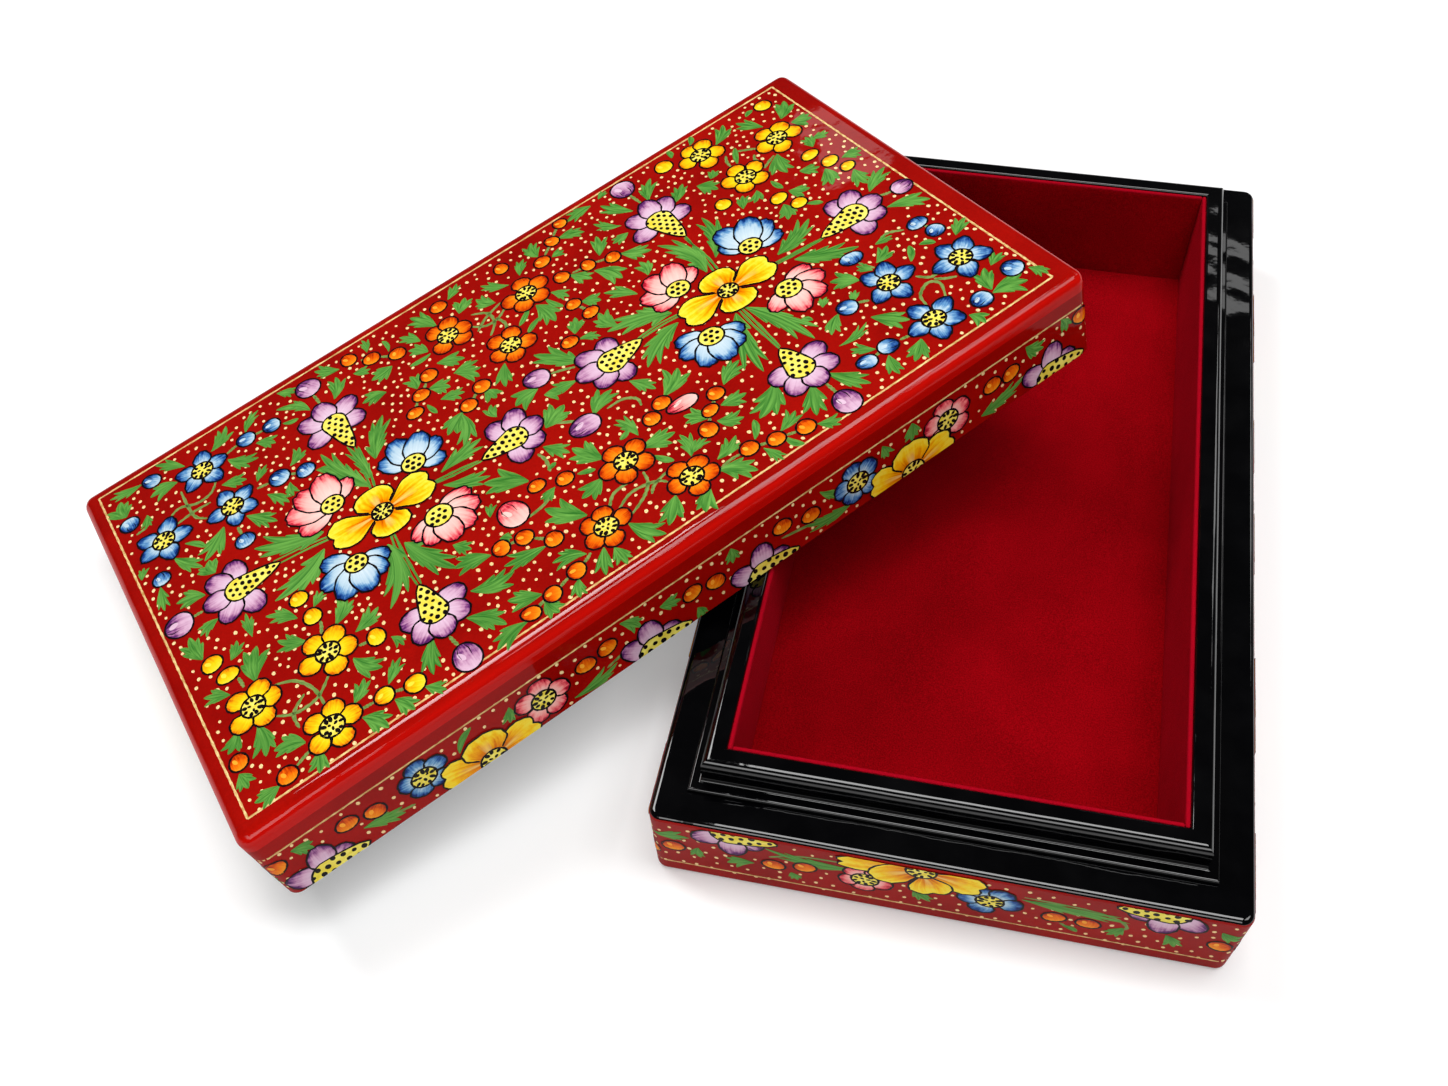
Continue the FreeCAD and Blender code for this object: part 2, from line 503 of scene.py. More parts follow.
# How finely each kind of mark is divided
grid = {
    "petal": (10, 9),
    "cone": (15, 7),
    "leaf": (10, 3),
    "eye": 7,
    "bud": 8,
    "glint": 5,
    "dot": 4,
    "ring": 28,
    "curve": 6,
    "stemRoom": 4,
    "dotRows": range(-3, 4),
    "dotColumns": range(-4, 5),
}
hand = random.Random(1207)
pots = {}


def eitherWay(most):
    return hand.uniform(-most, most)


def evenly(count):
    return [k / (count - 1) for k in range(count)]


def layerAt(lift, k):
    # each petal lies over the outline of the one before
    return lift + 2 * k * brush["layer"]


def placed(x, y, cosine, sine, a, b):
    # a spot given along and across a turned mark
    return x + a * cosine - b * sine, y + a * sine + b * cosine


def newPanel(body, place, low=None, high=None):
    return {"body": body, "place": place, "low": low, "high": high, "coats": {}, "taken": []}


def layPatch(panel, coat, rows, lift):
    store = panel["coats"].setdefault(coat, {"points": [], "faces": [], "marks": []})
    start = len(store["points"])
    wide = len(rows[0])
    for row in rows:
        for x, y, across, along in row:
            store["points"].append((x, y, lift))
            store["marks"].append((across, along))
    middle = len(rows) // 2 * wide
    a, b, c = (store["points"][start + k] for k in (0, wide - 1, middle + wide // 2))
    turn = (b[0] - a[0]) * (c[1] - a[1]) - (b[1] - a[1]) * (c[0] - a[0])
    for r in range(len(rows) - 1):
        for k in range(wide - 1):
            first = start + r * wide + k
            corners = (first, first + 1, first + 1 + wide, first + wide)
            store["faces"].append(corners if turn > 0 else corners[::-1])


def finishPanel(panel):
    # trims the marks at the panel's edges and carries them onto the box
    for coat, store in panel["coats"].items():
        mesh = bmesh.new()
        marks = mesh.loops.layers.uv.new(marksMap)
        points = [mesh.verts.new(p) for p in store["points"]]
        for corners in store["faces"]:
            face = mesh.faces.new([points[k] for k in corners])
            for loop, k in zip(face.loops, corners):
                loop[marks].uv = store["marks"][k]
        for limit, way in ((panel["low"], -1), (panel["high"], 1)):
            if limit is not None:
                geometry = mesh.verts[:] + mesh.edges[:] + mesh.faces[:]
                bmesh.ops.bisect_plane(mesh, geom=geometry, plane_co=(0, limit, 0),
                                       plane_no=(0, way, 0), clear_outer=True)
        for point in mesh.verts:
            point.co = panel["place"](*point.co)
        pot = pots.setdefault((panel["body"], coat), bmesh.new())
        potMarks = pot.loops.layers.uv.get(marksMap) or pot.loops.layers.uv.new(marksMap)
        moved = {point: pot.verts.new(point.co) for point in mesh.verts}
        for face in mesh.faces:
            copy = pot.faces.new([moved[point] for point in face.verts])
            copy.smooth = True
            for loop, old in zip(copy.loops, face.loops):
                loop[potMarks].uv = old[marks].uv
        mesh.free()


def inkLine(panel, points, width, lift, coat="ink", closed=False, thinEnds=False):
    rows = []
    count = len(points)
    for k in range(count + closed):
        x, y = points[k % count]
        before = points[(k - 1) % count] if closed else points[max(k - 1, 0)]
        after = points[(k + 1) % count] if closed else points[min(k + 1, count - 1)]
        runX, runY = after[0] - before[0], after[1] - before[1]
        size = math.hypot(runX, runY) or 1.0
        wobble = brush["wobble"] * math.sin(brush["wobbleRun"] * k + x) * (not closed or 0 < k < count)
        half = width / 2 * (1 + wobble)
        if thinEnds:
            swell = math.sin(math.pi * min(max(k / (count - 1), 0.0), 1.0)) ** 0.5
            half *= brush["thinEnd"] + (1 - brush["thinEnd"]) * swell
        sideX, sideY = -runY / size * half, runX / size * half
        along = k / (count - 1 + closed)
        rows.append([(x - sideX, y - sideY, 0.0, along), (x + sideX, y + sideY, 1.0, along)])
    layPatch(panel, coat, rows, lift)


def throughPoints(points):
    # an even curve through given points
    ends = [points[0]] + list(points) + [points[-1]]
    curve = []
    for k in range(1, len(ends) - 2):
        p, q, r, s = ends[k - 1:k + 3]
        for i in range(grid["curve"]):
            t = i / grid["curve"]
            curve.append(tuple(
                0.5 * (2 * q[d] + (r[d] - p[d]) * t + (2 * p[d] - 5 * q[d] + 4 * r[d] - s[d]) * t * t
                       + (3 * q[d] - p[d] - 3 * r[d] + s[d]) * t ** 3) for d in (0, 1)))
    curve.append(tuple(points[-1]))
    return curve


def ovalRows(x, y, wide, high, angle=0.0, count=grid["eye"], egg=0.0):
    rows = []
    cosine, sine = math.cos(angle), math.sin(angle)
    for along in evenly(count):
        t = 2 * along - 1
        row = []
        for across in evenly(count):
            s = 2 * across - 1
            a = s * math.sqrt(1 - t * t / 2) * wide / 2 * (1 - egg * t)
            b = t * math.sqrt(1 - s * s / 2) * high / 2
            row.append((*placed(x, y, cosine, sine, a, b), across, along))
        rows.append(row)
    return rows


def ovalRing(x, y, wide, high, angle=0.0, egg=0.0):
    ring = []
    cosine, sine = math.cos(angle), math.sin(angle)
    for k in range(grid["ring"]):
        turn = 2 * math.pi * k / grid["ring"]
        b = math.sin(turn) * high / 2
        a = math.cos(turn) * wide / 2 * (1 - egg * math.sin(turn))
        ring.append(placed(x, y, cosine, sine, a, b))
    return ring


def inkDot(panel, x, y, size, lift, coat="ink", stretch=1.0, angle=0.0):
    layPatch(panel, coat, ovalRows(x, y, size, size * stretch, angle, grid["dot"]), lift)


def keepClear(panel, x, y, radius, endX=None, endY=None):
    panel["taken"].append((x, y, x if endX is None else endX, y if endY is None else endY, radius))


def keepPetalClear(panel, x, y, turn, reach, radius):
    angle = math.radians(turn)
    out = petalCuts["clear"] * reach
    keepClear(panel, x, y, radius, x + out * math.cos(angle), y + out * math.sin(angle))


# How each kind of petal is cut; the last three hold for them all
petalCuts = {
    "round": {"waist": 0.46, "belly": 0.64, "close": 0.1, "round": 0.28, "power": 2.6,
              "notch": 0.0, "frill": 0.012},
    "fan": {"waist": 0.62, "belly": 0.56, "close": 0.1, "round": 0.27, "power": 2.5,
            "notch": 0.012, "frill": 0.024},
    "point": {"waist": 0.52, "belly": 0.6, "close": 0.16, "round": 0.36, "power": 1.9,
              "notch": 0.0, "frill": 0.02},
    "heart": {"waist": 0.2, "belly": 0.8, "close": 0.0, "round": 0.26, "power": 3.0,
              "notch": 0.1, "frill": 0.0},
    "broad": {"waist": 0.5, "belly": 0.6, "close": 0.05, "round": 0.3, "power": 2.6,
              "notch": 0.02, "frill": 0.012},
    "sway": 0.06,
    "notchWidth": 0.25,
    "clear": 0.7,
}


def paintPetal(panel, coat, x, y, angle, reach, width, lift, start=1.5, cut="round", depth=0.0, pale=1.0):
    shape = petalCuts[cut]
    cosine, sine = math.cos(angle), math.sin(angle)
    sway = eitherWay(petalCuts["sway"])
    phase = hand.uniform(0.0, 2 * math.pi)
    rows = []
    for t in evenly(grid["petal"][0]):
        rise = min(t / shape["belly"], 1.0)
        swell = shape["waist"] + (1 - shape["waist"]) * rise * rise * (3 - 2 * rise)
        swell *= 1 - shape["close"] * t ** 4
        row = []
        for across in evenly(grid["petal"][1]):
            s = 2 * across - 1
            cap = 1 - shape["round"] * abs(s) ** shape["power"]
            cap -= shape["notch"] * math.exp(-(s / petalCuts["notchWidth"]) ** 2)
            cap += shape["frill"] * math.cos(3 * math.pi * s + phase)
            along = start + (reach - start) * t * cap
            off = width / 2 * s * swell + sway * reach * t * t
            row.append((*placed(x, y, cosine, sine, along, off), across, depth + (1 - depth) * t ** pale))
        rows.append(row)
    layPatch(panel, coat, rows, lift)
    outline = [row[0][:2] for row in rows[1:]]
    outline += [spot[:2] for spot in rows[-1][1:-1]]
    outline += [row[-1][:2] for row in rows[:0:-1]]
    inkLine(panel, outline, brush["inkWidth"], lift + brush["layer"])


# Flower eyes: rings of quick dabs (count, radius, start and size) or rows of dots
eyes = {
    "dabs": ((9, 0.36, 0.0, 1.1), (3, 0.15, 0.4, 0.8)),
    "dabTurn": 0.16,
    "dabOut": 0.03,
    "dabSize": (0.85, 1.15),
    "dabStretch": (1.2, 1.8),
    "dabLean": 0.3,
    "ringWidth": 1.1,
    "rim": 1.0,
    "dotSize": (1.1, 1.5),
    "dotGap": 2.0,
    "rowGap": 0.87,
    "wander": 0.15,
}


def paintEye(panel, x, y, wide, high, lift, dashes=False):
    layPatch(panel, "eye", ovalRows(x, y, wide, high), lift)
    ring = ovalRing(x, y, wide, high)
    inkLine(panel, ring, brush["inkWidth"] * eyes["ringWidth"], lift + brush["layer"], closed=True)
    top = layerAt(lift, 1)
    if dashes:
        for count, radius, begin, size in eyes["dabs"]:
            for k in range(count):
                turn = 2 * math.pi * k / count + begin + eitherWay(eyes["dabTurn"])
                out = radius + eitherWay(eyes["dabOut"])
                a, b = out * wide * math.cos(turn), out * high * math.sin(turn)
                length = size * hand.uniform(*eyes["dabSize"])
                stretch = hand.uniform(*eyes["dabStretch"])
                lean = turn + math.pi / 2 + eitherWay(eyes["dabLean"])
                inkDot(panel, x + a, y + b, length, top, stretch=stretch, angle=lean)
        return
    gap, wander, rim = eyes["dotGap"], eyes["wander"], eyes["rim"]
    for row in grid["dotRows"]:
        for column in grid["dotColumns"]:
            a = (column + 0.5 * (row % 2)) * gap + eitherWay(wander)
            b = row * gap * eyes["rowGap"] + eitherWay(wander)
            if (2 * a / (wide - rim)) ** 2 + (2 * b / (high - rim)) ** 2 < 1:
                inkDot(panel, x + a, y + b, hand.uniform(*eyes["dotSize"]), top)


# Flowers: sizes as shares of the petal's reach, paleness and clear room round them
flowers = {
    "eye": 6.6,
    "eyeSquash": 0.97,
    "start": 2.0,
    "reachWander": (0.96, 1.04),
    "width": {"point": 0.7},
    "plainWidth": 0.8,
    "depth": {"blue": 0.2},
    "plainDepth": 0.1,
    "room": 0.6,
    "fanWidth": 0.66,
    "fanStart": 1.0,
    "fanPale": 1.8,
    "fanRoom": 3.6,
    "fanEyeSquash": 0.95,
    "thistlePetal": 7.4,
    "thistlePale": 1.3,
    "thistleRoom": 3.8,
    "goldEye": (6.2, 5.8),
    "goldRoom": 5.0,
}


def paintFlower(panel, kind, x, y, reach, turns, eye=flowers["eye"], cut="round", width=None):
    # open five-petalled flower of a trio
    lift = brush["flowerLift"]
    wide = width or reach * flowers["width"].get(cut, flowers["plainWidth"])
    depth = flowers["depth"].get(kind, flowers["plainDepth"])
    for k, turn in enumerate(turns):
        drawn = reach * hand.uniform(*flowers["reachWander"])
        paintPetal(panel, kind, x, y, math.radians(turn), drawn, wide, layerAt(lift, k), flowers["start"],
                   cut, depth)
    paintEye(panel, x, y, eye, eye * flowers["eyeSquash"], layerAt(lift, len(turns)), dashes=True)
    keepClear(panel, x, y, reach + flowers["room"])


def paintFan(panel, kind, x, y, eye, petals):
    # half-open flower whose petals fan out on one side of its eye
    lift = brush["flowerLift"]
    for k, (turn, reach) in enumerate(petals):
        paintPetal(panel, kind, x, y, math.radians(turn), reach, reach * flowers["fanWidth"],
                   layerAt(lift, k), flowers["fanStart"], "fan", pale=flowers["fanPale"])
        keepPetalClear(panel, x, y, turn, reach, flowers["fanRoom"])
    paintEye(panel, x, y, eye, eye * flowers["fanEyeSquash"], layerAt(lift, len(petals)))


def paintThistle(panel, tip, head, width, petalTips):
    # dotted yellow cone with mauve petals about its round end
    lift = brush["flowerLift"]
    for k, (px, py) in enumerate(petalTips):
        turn = math.atan2(py - head[1], px - head[0])
        reach = math.hypot(px - head[0], py - head[1])
        paintPetal(panel, "mauve", head[0], head[1], turn, reach, flowers["thistlePetal"],
                   layerAt(lift, k), pale=flowers["thistlePale"])
        keepClear(panel, head[0], head[1], flowers["thistleRoom"], px, py)
    paintCone(panel, tip, head, width, layerAt(lift, len(petalTips)))


def paintGold(panel, x, y, petals, eye=flowers["goldEye"]):
    # the large gold blossom at a bouquet's heart
    lift = brush["crownLift"]
    for k, (turn, reach, width, cut) in enumerate(petals):
        paintPetal(panel, "gold", x, y, math.radians(turn), reach, width, layerAt(lift, k), cut=cut)
        keepPetalClear(panel, x, y, turn, reach, flowers["goldRoom"])
    paintEye(panel, x, y, eye[0], eye[1], layerAt(lift, len(petals)), dashes=True)


# The thistles' dotted cones, in millimetres and shares of the dot
cones = {
    "dot": 1.2,
    "roundEnd": 0.48,
    "tipWidth": 0.06,
    "flare": 0.62,
    "end": 0.995,
    "closing": 1.001,
    "firstRow": 1.8,
    "endRoom": 0.7,
    "rim": 0.45,
    "leastRoom": 0.1,
    "dotSize": (0.85, 1.15),
    "dotStretch": (0.9, 1.3),
    "dotGap": 1.8,
    "rowGap": 1.55,
    "wander": 0.18,
    "room": 2.4,
}


def paintCone(panel, tip, head, width, lift, dot=cones["dot"]):
    runX, runY = head[0] - tip[0], head[1] - tip[1]
    size = math.hypot(runX, runY)
    cosine, sine = runX / size, runY / size
    length = size + width * cones["roundEnd"]
    waist = size / length

    def halfAt(t):
        if t < waist:
            return width / 2 * (cones["tipWidth"] + (1 - cones["tipWidth"]) * (t / waist) ** cones["flare"])
        return width / 2 * math.sqrt(max(1 - ((t - waist) / (cones["closing"] - waist)) ** 2, 0.0))

    rows = []
    for share in evenly(grid["cone"][0]):
        t = math.sin(math.pi / 2 * share) * cones["end"]  # closer rows towards the round end
        row = []
        for across in evenly(grid["cone"][1]):
            spot = placed(*tip, cosine, sine, t * length, (2 * across - 1) * halfAt(t))
            row.append((*spot, across, t))
        rows.append(row)
    layPatch(panel, "eye", rows, lift)
    outline = [row[0][:2] for row in rows] + [row[-1][:2] for row in rows[::-1]]
    inkLine(panel, outline, brush["inkWidth"], lift + brush["layer"], closed=True)
    along, odd = cones["firstRow"], 0
    while along < length - cones["endRoom"]:
        room = halfAt(along / length) - cones["rim"]
        for column in grid["dotColumns"]:
            off = (column + 0.5 * odd) * cones["dotGap"] * dot
            if abs(off) <= max(room, cones["leastRoom"] * (1 - odd)):
                wander = eitherWay(cones["wander"])
                x, y = placed(*tip, cosine, sine, along + wander, off)
                dotSize = dot * hand.uniform(*cones["dotSize"])
                stretch = hand.uniform(*cones["dotStretch"])
                inkDot(panel, x, y, dotSize, layerAt(lift, 1), stretch=stretch)
        along += cones["rowGap"] * dot
        odd = 1 - odd
    keepClear(panel, *tip, cones["room"], *head)


# Buds: how deep their colour starts, their pale glint and the folds drawn in from the tip
budLooks = {
    "egg": 0.08,
    "tilt": 0.7,
    "depth": {"blue": 0.34, "mauve": 0.34, "orange": 0.24},
    "plainDepth": 0.12,
    "glint": {"blue": 0.3, "mauve": 0.3},
    "plainGlint": 0.08,
    "glintAt": (-0.16, 0.1),
    "glintSize": (0.2, 0.34),
    "glintTurn": 0.4,
    "folded": ("blue", "mauve", "pink"),
    "folds": (-0.22, 0.2),
    "foldRun": ((0.6, 0.44), (1.0, 0.25), (0.9, 0.02)),
    "foldWidth": 0.6,
    "room": 0.6,
}


def paintBud(panel, kind, x, y, wide, high, angle=None):
    angle = eitherWay(budLooks["tilt"]) if angle is None else math.radians(angle)
    cosine, sine = math.cos(angle), math.sin(angle)
    lift = brush["flowerLift"]
    above = lift + brush["layer"]
    depth = budLooks["depth"].get(kind, budLooks["plainDepth"])
    rows = ovalRows(x, y, wide, high, angle, grid["bud"], budLooks["egg"])
    layPatch(panel, kind, [[(a, b, s, depth + (1 - depth) * t) for a, b, s, t in row] for row in rows], lift)
    ring = ovalRing(x, y, wide, high, angle, budLooks["egg"])
    inkLine(panel, ring, brush["inkWidth"], above, closed=True)
    (a, b), (c, d) = budLooks["glintAt"], budLooks["glintSize"]
    turned = angle + budLooks["glintTurn"]
    lick = ovalRows(x + a * wide, y + b * high, c * wide, d * high, turned, grid["glint"])
    glint = budLooks["glint"].get(kind, budLooks["plainGlint"])
    layPatch(panel, kind, [[(a, b, 0.5, glint) for a, b, _, _ in row] for row in lick], above)
    if kind in budLooks["folded"]:
        for lean in budLooks["folds"]:
            fold = [(lean * a * wide, b * high) for a, b in budLooks["foldRun"]]
            points = [placed(x, y, cosine, sine, *spot) for spot in fold]
            inkLine(panel, points, brush["inkWidth"] * budLooks["foldWidth"], above, thinEnds=True)
    keepClear(panel, x, y, max(wide, high) / 2 + budLooks["room"])


# Leaves: lobes as shares of the leaf's length and width
leafLooks = {
    "lobedFrom": 3.0,
    "longFrom": 15,
    "bend": 0.12,
    "sideReach": (1.1, 0.25),
    "sideReachWander": 0.08,
    "sideSpread": (0.42, 0.6),
    "sideHalf": 0.15,
    "mainHalf": 0.19,
    "plainHalf": 0.36,
    "mainSpread": 0.12,
    "end": 0.985,
    "quick": 0.24,
    "sweep": (0.3, 0.7),
    "rootWidth": 0.2,
    "belly": (3.0, 0.9, 0.75),
    "layer": 0.0011,
    "layers": 18,
    "lobeLayer": 0.0014,
    "room": 0.3,
}


def paintLeaf(panel, x0, y0, x1, y1, width):
    # pointed strokes from one root, the side ones swept outwards
    length = math.hypot(x1 - x0, y1 - y0)
    cosine, sine = (x1 - x0) / length, (y1 - y0) / length
    bend = eitherWay(leafLooks["bend"])
    first, less = leafLooks["sideReach"]
    quick, (early, late) = leafLooks["quick"], leafLooks["sweep"]
    belly, rootPower, tipPower = leafLooks["belly"]
    lobes = []
    if width >= leafLooks["lobedFrom"]:
        for k in range(3 if length > leafLooks["longFrom"] else 2, 0, -1):
            for way in (1, -1):
                reach = first - less * k + eitherWay(leafLooks["sideReachWander"])
                lobes.append((reach, way * hand.uniform(*leafLooks["sideSpread"]), leafLooks["sideHalf"]))
    half = leafLooks["mainHalf"] if lobes else leafLooks["plainHalf"]
    lobes.append((1.0, eitherWay(leafLooks["mainSpread"]), half))
    # crossing leaves are kept apart
    lift = brush["leafLift"] + leafLooks["layer"] * (len(panel["taken"]) % leafLooks["layers"])
    for k, (reach, spread, half) in enumerate(lobes):
        rows = []
        for share in evenly(grid["leaf"][0]):
            t = share * leafLooks["end"]
            along = reach * length * t * (1 + quick - quick * t)
            off = spread * width * t * (early + late * t)
            runX = reach * length * (1 + quick - 2 * quick * t)
            runY = spread * width * (early + 2 * late * t)
            size = math.hypot(runX, runY)
            swell = leafLooks["rootWidth"] * (1 - t) + belly * t ** rootPower * (1 - t) ** tipPower
            full = half * width * swell
            off += bend * length * 4 * (along / length) * (1 - along / length)
            row = []
            for across in evenly(grid["leaf"][1]):
                s = 2 * across - 1
                a, b = along - s * full * runY / size, off + s * full * runX / size
                row.append((*placed(x0, y0, cosine, sine, a, b), across, t))
            rows.append(row)
        layPatch(panel, "leaf", rows, lift + leafLooks["lobeLayer"] * k)
    keepClear(panel, x0, y0, width * leafLooks["room"], x1, y1)


def paintStem(panel, points, width, coat="stem"):
    curve = throughPoints(points)
    inkLine(panel, curve, width, brush["stemLift"], coat, thinEnds=True)
    every = grid["stemRoom"]
    for a, b in zip(curve[::every], curve[every::every]):
        keepClear(panel, *a, width * brush["stemRoom"], *b)


def farFrom(x, y, taken, margin):
    for x0, y0, x1, y1, radius in taken:
        runX, runY = x1 - x0, y1 - y0
        span = runX * runX + runY * runY
        t = 0.0 if span == 0 else min(max(((x - x0) * runX + (y - y0) * runY) / span, 0.0), 1.0)
        if math.hypot(x - x0 - t * runX, y - y0 - t * runY) < radius + margin:
            return False
    return True


# Cream dots: how many tries, how far apart, and where on each panel
dots = {
    "margin": 0.3,
    "size": (0.8, 1.08),
    "stretch": (1.0, 1.35),
    "tilt": 0.5,
    "lidTries": 16000,
    "lidGap": 2.35,
    "lidX": (-120.2, 120.2),
    "lidY": (-65.6, 65.6),
    "wallTries": 4000,
    "wallGap": 3.3,
    "lidWallZ": (1.0, 17.4),
    "trayWallZ": (5.2, 26.8),
}


def sprinkleDots(panel, xRange, yRange, tries, gap):
    # small cream dabs wherever the red ground still shows
    dabs = []
    for _ in range(tries):
        x, y = hand.uniform(*xRange), hand.uniform(*yRange)
        clear = farFrom(x, y, panel["taken"], dots["margin"])
        if clear and all(math.hypot(x - a, y - b) > gap for a, b in dabs):
            dabs.append((x, y))
            inkDot(panel, x, y, hand.uniform(*dots["size"]), brush["dotLift"], "dot",
                   hand.uniform(*dots["stretch"]), eitherWay(dots["tilt"]))
    return len(dabs)


# Where the painting sits: its turn in degrees, its shifts, the ruled lines and the trimmed edges
layout = {
    "turn": 0.3,
    "shiftX": -0.83,
    "shiftY": -0.67,
    "bandShift": -1.2,
    "lidWallLow": 0.15,
    "trayWallHigh": 28.1,
    "trayBandTop": 29.4,
    "bandEnd": 0.8,
}
hairlines = {
    "topX": 121.6,
    "topY": 67.0,
    "topWidth": 0.6,
    "lidWall": 18.0,
    "trayWall": 5.6,
    "wallWidth": 0.55,
    "step": 1.2,
}


def lidTopPoint(x, y, lift):
    shoulder = box["lidShoulder"]
    over = max(abs(x) - (halfLength - shoulder), abs(y) - (halfWidth - shoulder), 0.0)
    drop = shoulder - math.sqrt(shoulder ** 2 - over ** 2)
    return lidFrame @ Vector((-y, x, box["lidHeight"] - drop + lift)) * mm


def paintedTopPoint(x, y, lift):
    # the flowers were drawn a touch askew to the lid's edges
    turn = math.radians(layout["turn"])
    across = x * math.cos(turn) - y * math.sin(turn) + layout["shiftX"]
    away = x * math.sin(turn) + y * math.cos(turn) + layout["shiftY"]
    return lidTopPoint(across, away, lift)


def wallPoint(side, along, z, lift, radius):
    # a spot on the box's outside, unrolled round the corners
    half, out = (halfLength, halfWidth) if side in longSides else (halfWidth, halfLength)
    flat = half - radius
    past = max(abs(along) - flat, 0.0)
    turn = math.copysign(min(past / radius, math.pi / 2), along)
    beyond = max(past - radius * math.pi / 2, 0.0)
    a = min(max(along, -flat), flat) + (radius + lift) * math.sin(turn)
    b = out - radius + (radius + lift) * math.cos(turn) - beyond
    return {"front": Vector((a, -b, z)), "right": Vector((b, a, z)),
            "back": Vector((-a, b, z)), "left": Vector((-b, -a, z))}[side]


def lidWallPanel(side):
    shift = layout["bandShift"] if side == "right" else 0.0

    def place(x, z, lift):
        return lidFrame @ wallPoint(side, x + shift, z, lift, box["lidCorner"]) * mm

    return newPanel("lid", place, low=layout["lidWallLow"])


def trayWallPanel(side):
    def place(x, z, lift):
        return wallPoint(side, x, z, lift, box["trayCorner"]) * mm

    return newPanel("tray", place, high=layout["trayWallHigh"])


# The lid's top: two bouquets and six trios. x along the lid, y towards its far side
bouquets = {
    "stemWidth": 0.8,
    # place, then each petal's angle, reach, width and cut
    "gold": [
        (-56.9, -2.4, [(180, 16.2, 11.4, "heart"), (2, 16.4, 12, "heart"), (90, 10.4, 11.8, "broad"),
            (270, 9.8, 11.6, "broad")]),
        (57.5, -3.1, [(178, 16.4, 11.6, "heart"), (4, 16.3, 11.6, "heart"), (90, 10.4, 11.8, "broad"),
            (270, 9.6, 12, "broad")]),
    ],
    # colour, place, eye, then each petal's angle and reach
    "fans": [
        ("pink", -66.8, 11, 7, [(197, 12.2), (158, 13.8), (36, 9.8), (122, 13.4), (82, 13.2)]),
        ("blue", -42.5, 7.4, 7.2, [(-24, 9.6), (140, 11), (18, 10.8), (100, 12.6), (60, 11.8)]),
        ("blue", -70, -13.6, 6.6, [(142, 10.6), (338, 9.6), (184, 11.4), (308, 10.2), (224, 12),
            (266, 11.6)]),
        ("pink", -45.4, -15.5, 8, [(18, 11.2), (195, 9.8), (342, 11.8), (232, 10.2), (305, 11.8),
            (268, 11.4)]),
        ("pink", 47.8, 9, 7.4, [(198, 10.2), (156, 11.6), (30, 9.6), (115, 12.4), (72, 12.2)]),
        ("blue", 72.7, 7.8, 7.2, [(-14, 10.4), (140, 9.8), (26, 12), (100, 13.8), (62, 13.4)]),
        ("blue", 43.8, -15, 7.6, [(148, 10.6), (336, 9.8), (188, 11), (306, 10.6), (228, 11.8),
            (268, 11.8)]),
        ("pink", 70, -15.8, 8, [(28, 10.4), (206, 9.8), (348, 11.2), (308, 11.4), (264, 11.4)]),
    ],
    # tip and head of the cone, its width, and the petals' tips
    "thistles": [
        ((-53, 26.6), (-53.8, 40.4), 7.6, [(-63.4, 36.4), (-45, 36.4), (-62.6, 48), (-45.4, 47.6),
            (-54.4, 51.6)]),
        ((-86.6, 2.8), (-99.2, 2.8), 8.2, [(-97, -8.6), (-97.2, 13.6), (-106.4, -5.8), (-106, 11.8),
            (-109.6, 2.8)]),
        ((-27.2, -6.6), (-16.6, -6.2), 8.2, [(-20.4, 3.6), (-18.8, -16.2), (-11.6, 4), (-10.4, -13.2),
            (-7.2, -5.4)]),
        ((-60, -33), (-60.4, -43.6), 7.8, [(-69.4, -41), (-50.8, -40.8), (-68.6, -49.6), (-53, -50.2),
            (-61, -53.2)]),
        ((62, 27.2), (60.4, 39.8), 8.6, [(50, 36.8), (70.2, 37), (52.2, 47.4), (68.4, 47.4), (61, 51.8)]),
        ((29.2, -0.4), (18.6, -1.6), 9.2, [(20.6, 8.6), (18.4, -11.6), (12, 8.2), (10.8, -8.8),
            (7.2, -0.2)]),
        ((88.8, -5.8), (101.4, -4.6), 8.6, [(97.8, 5.2), (99.2, -15.2), (105.6, 5.6), (108, -11.6),
            (111.2, -3.4)]),
        ((54.3, -33.7), (54.3, -43.6), 8.2, [(45, -41.8), (64.2, -40.6), (47.4, -51.4), (62.8, -49.8),
            (55.6, -53.4)]),
    ],
    "stems": [
        [(-56.4, 6), (-55, 14), (-53, 27)], [(-55.2, 6), (-53.4, 15), (-52.2, 26)],
        [(-68, -1), (-78, 1.2), (-87, 2.6)], [(-68, -0.4), (-77, 2.4), (-88, 4.6)],
        [(-44, -3.4), (-36, -5.4), (-27, -6.8)], [(-45, -3), (-36, -4.2), (-28, -6)],
        [(-58, -9), (-60, -20), (-60.2, -33)], [(-57.4, -9), (-58.6, -21), (-59.2, -33)],
        [(59, 6), (60.4, 15), (62, 28)], [(60.4, 6), (61.4, 15), (61.2, 27)],
        [(45, -1.4), (37, -0.2), (29, -0.2)], [(45, -0.6), (36, 1), (28, 0.6)],
        [(70, -3.4), (79, -4.6), (89, -5.8)], [(70, -4.2), (80, -5.6), (90, -6.4)],
        [(55.4, -9), (54.6, -20), (54.4, -34)], [(56.2, -9), (55.8, -20), (55, -33)],
    ],
}
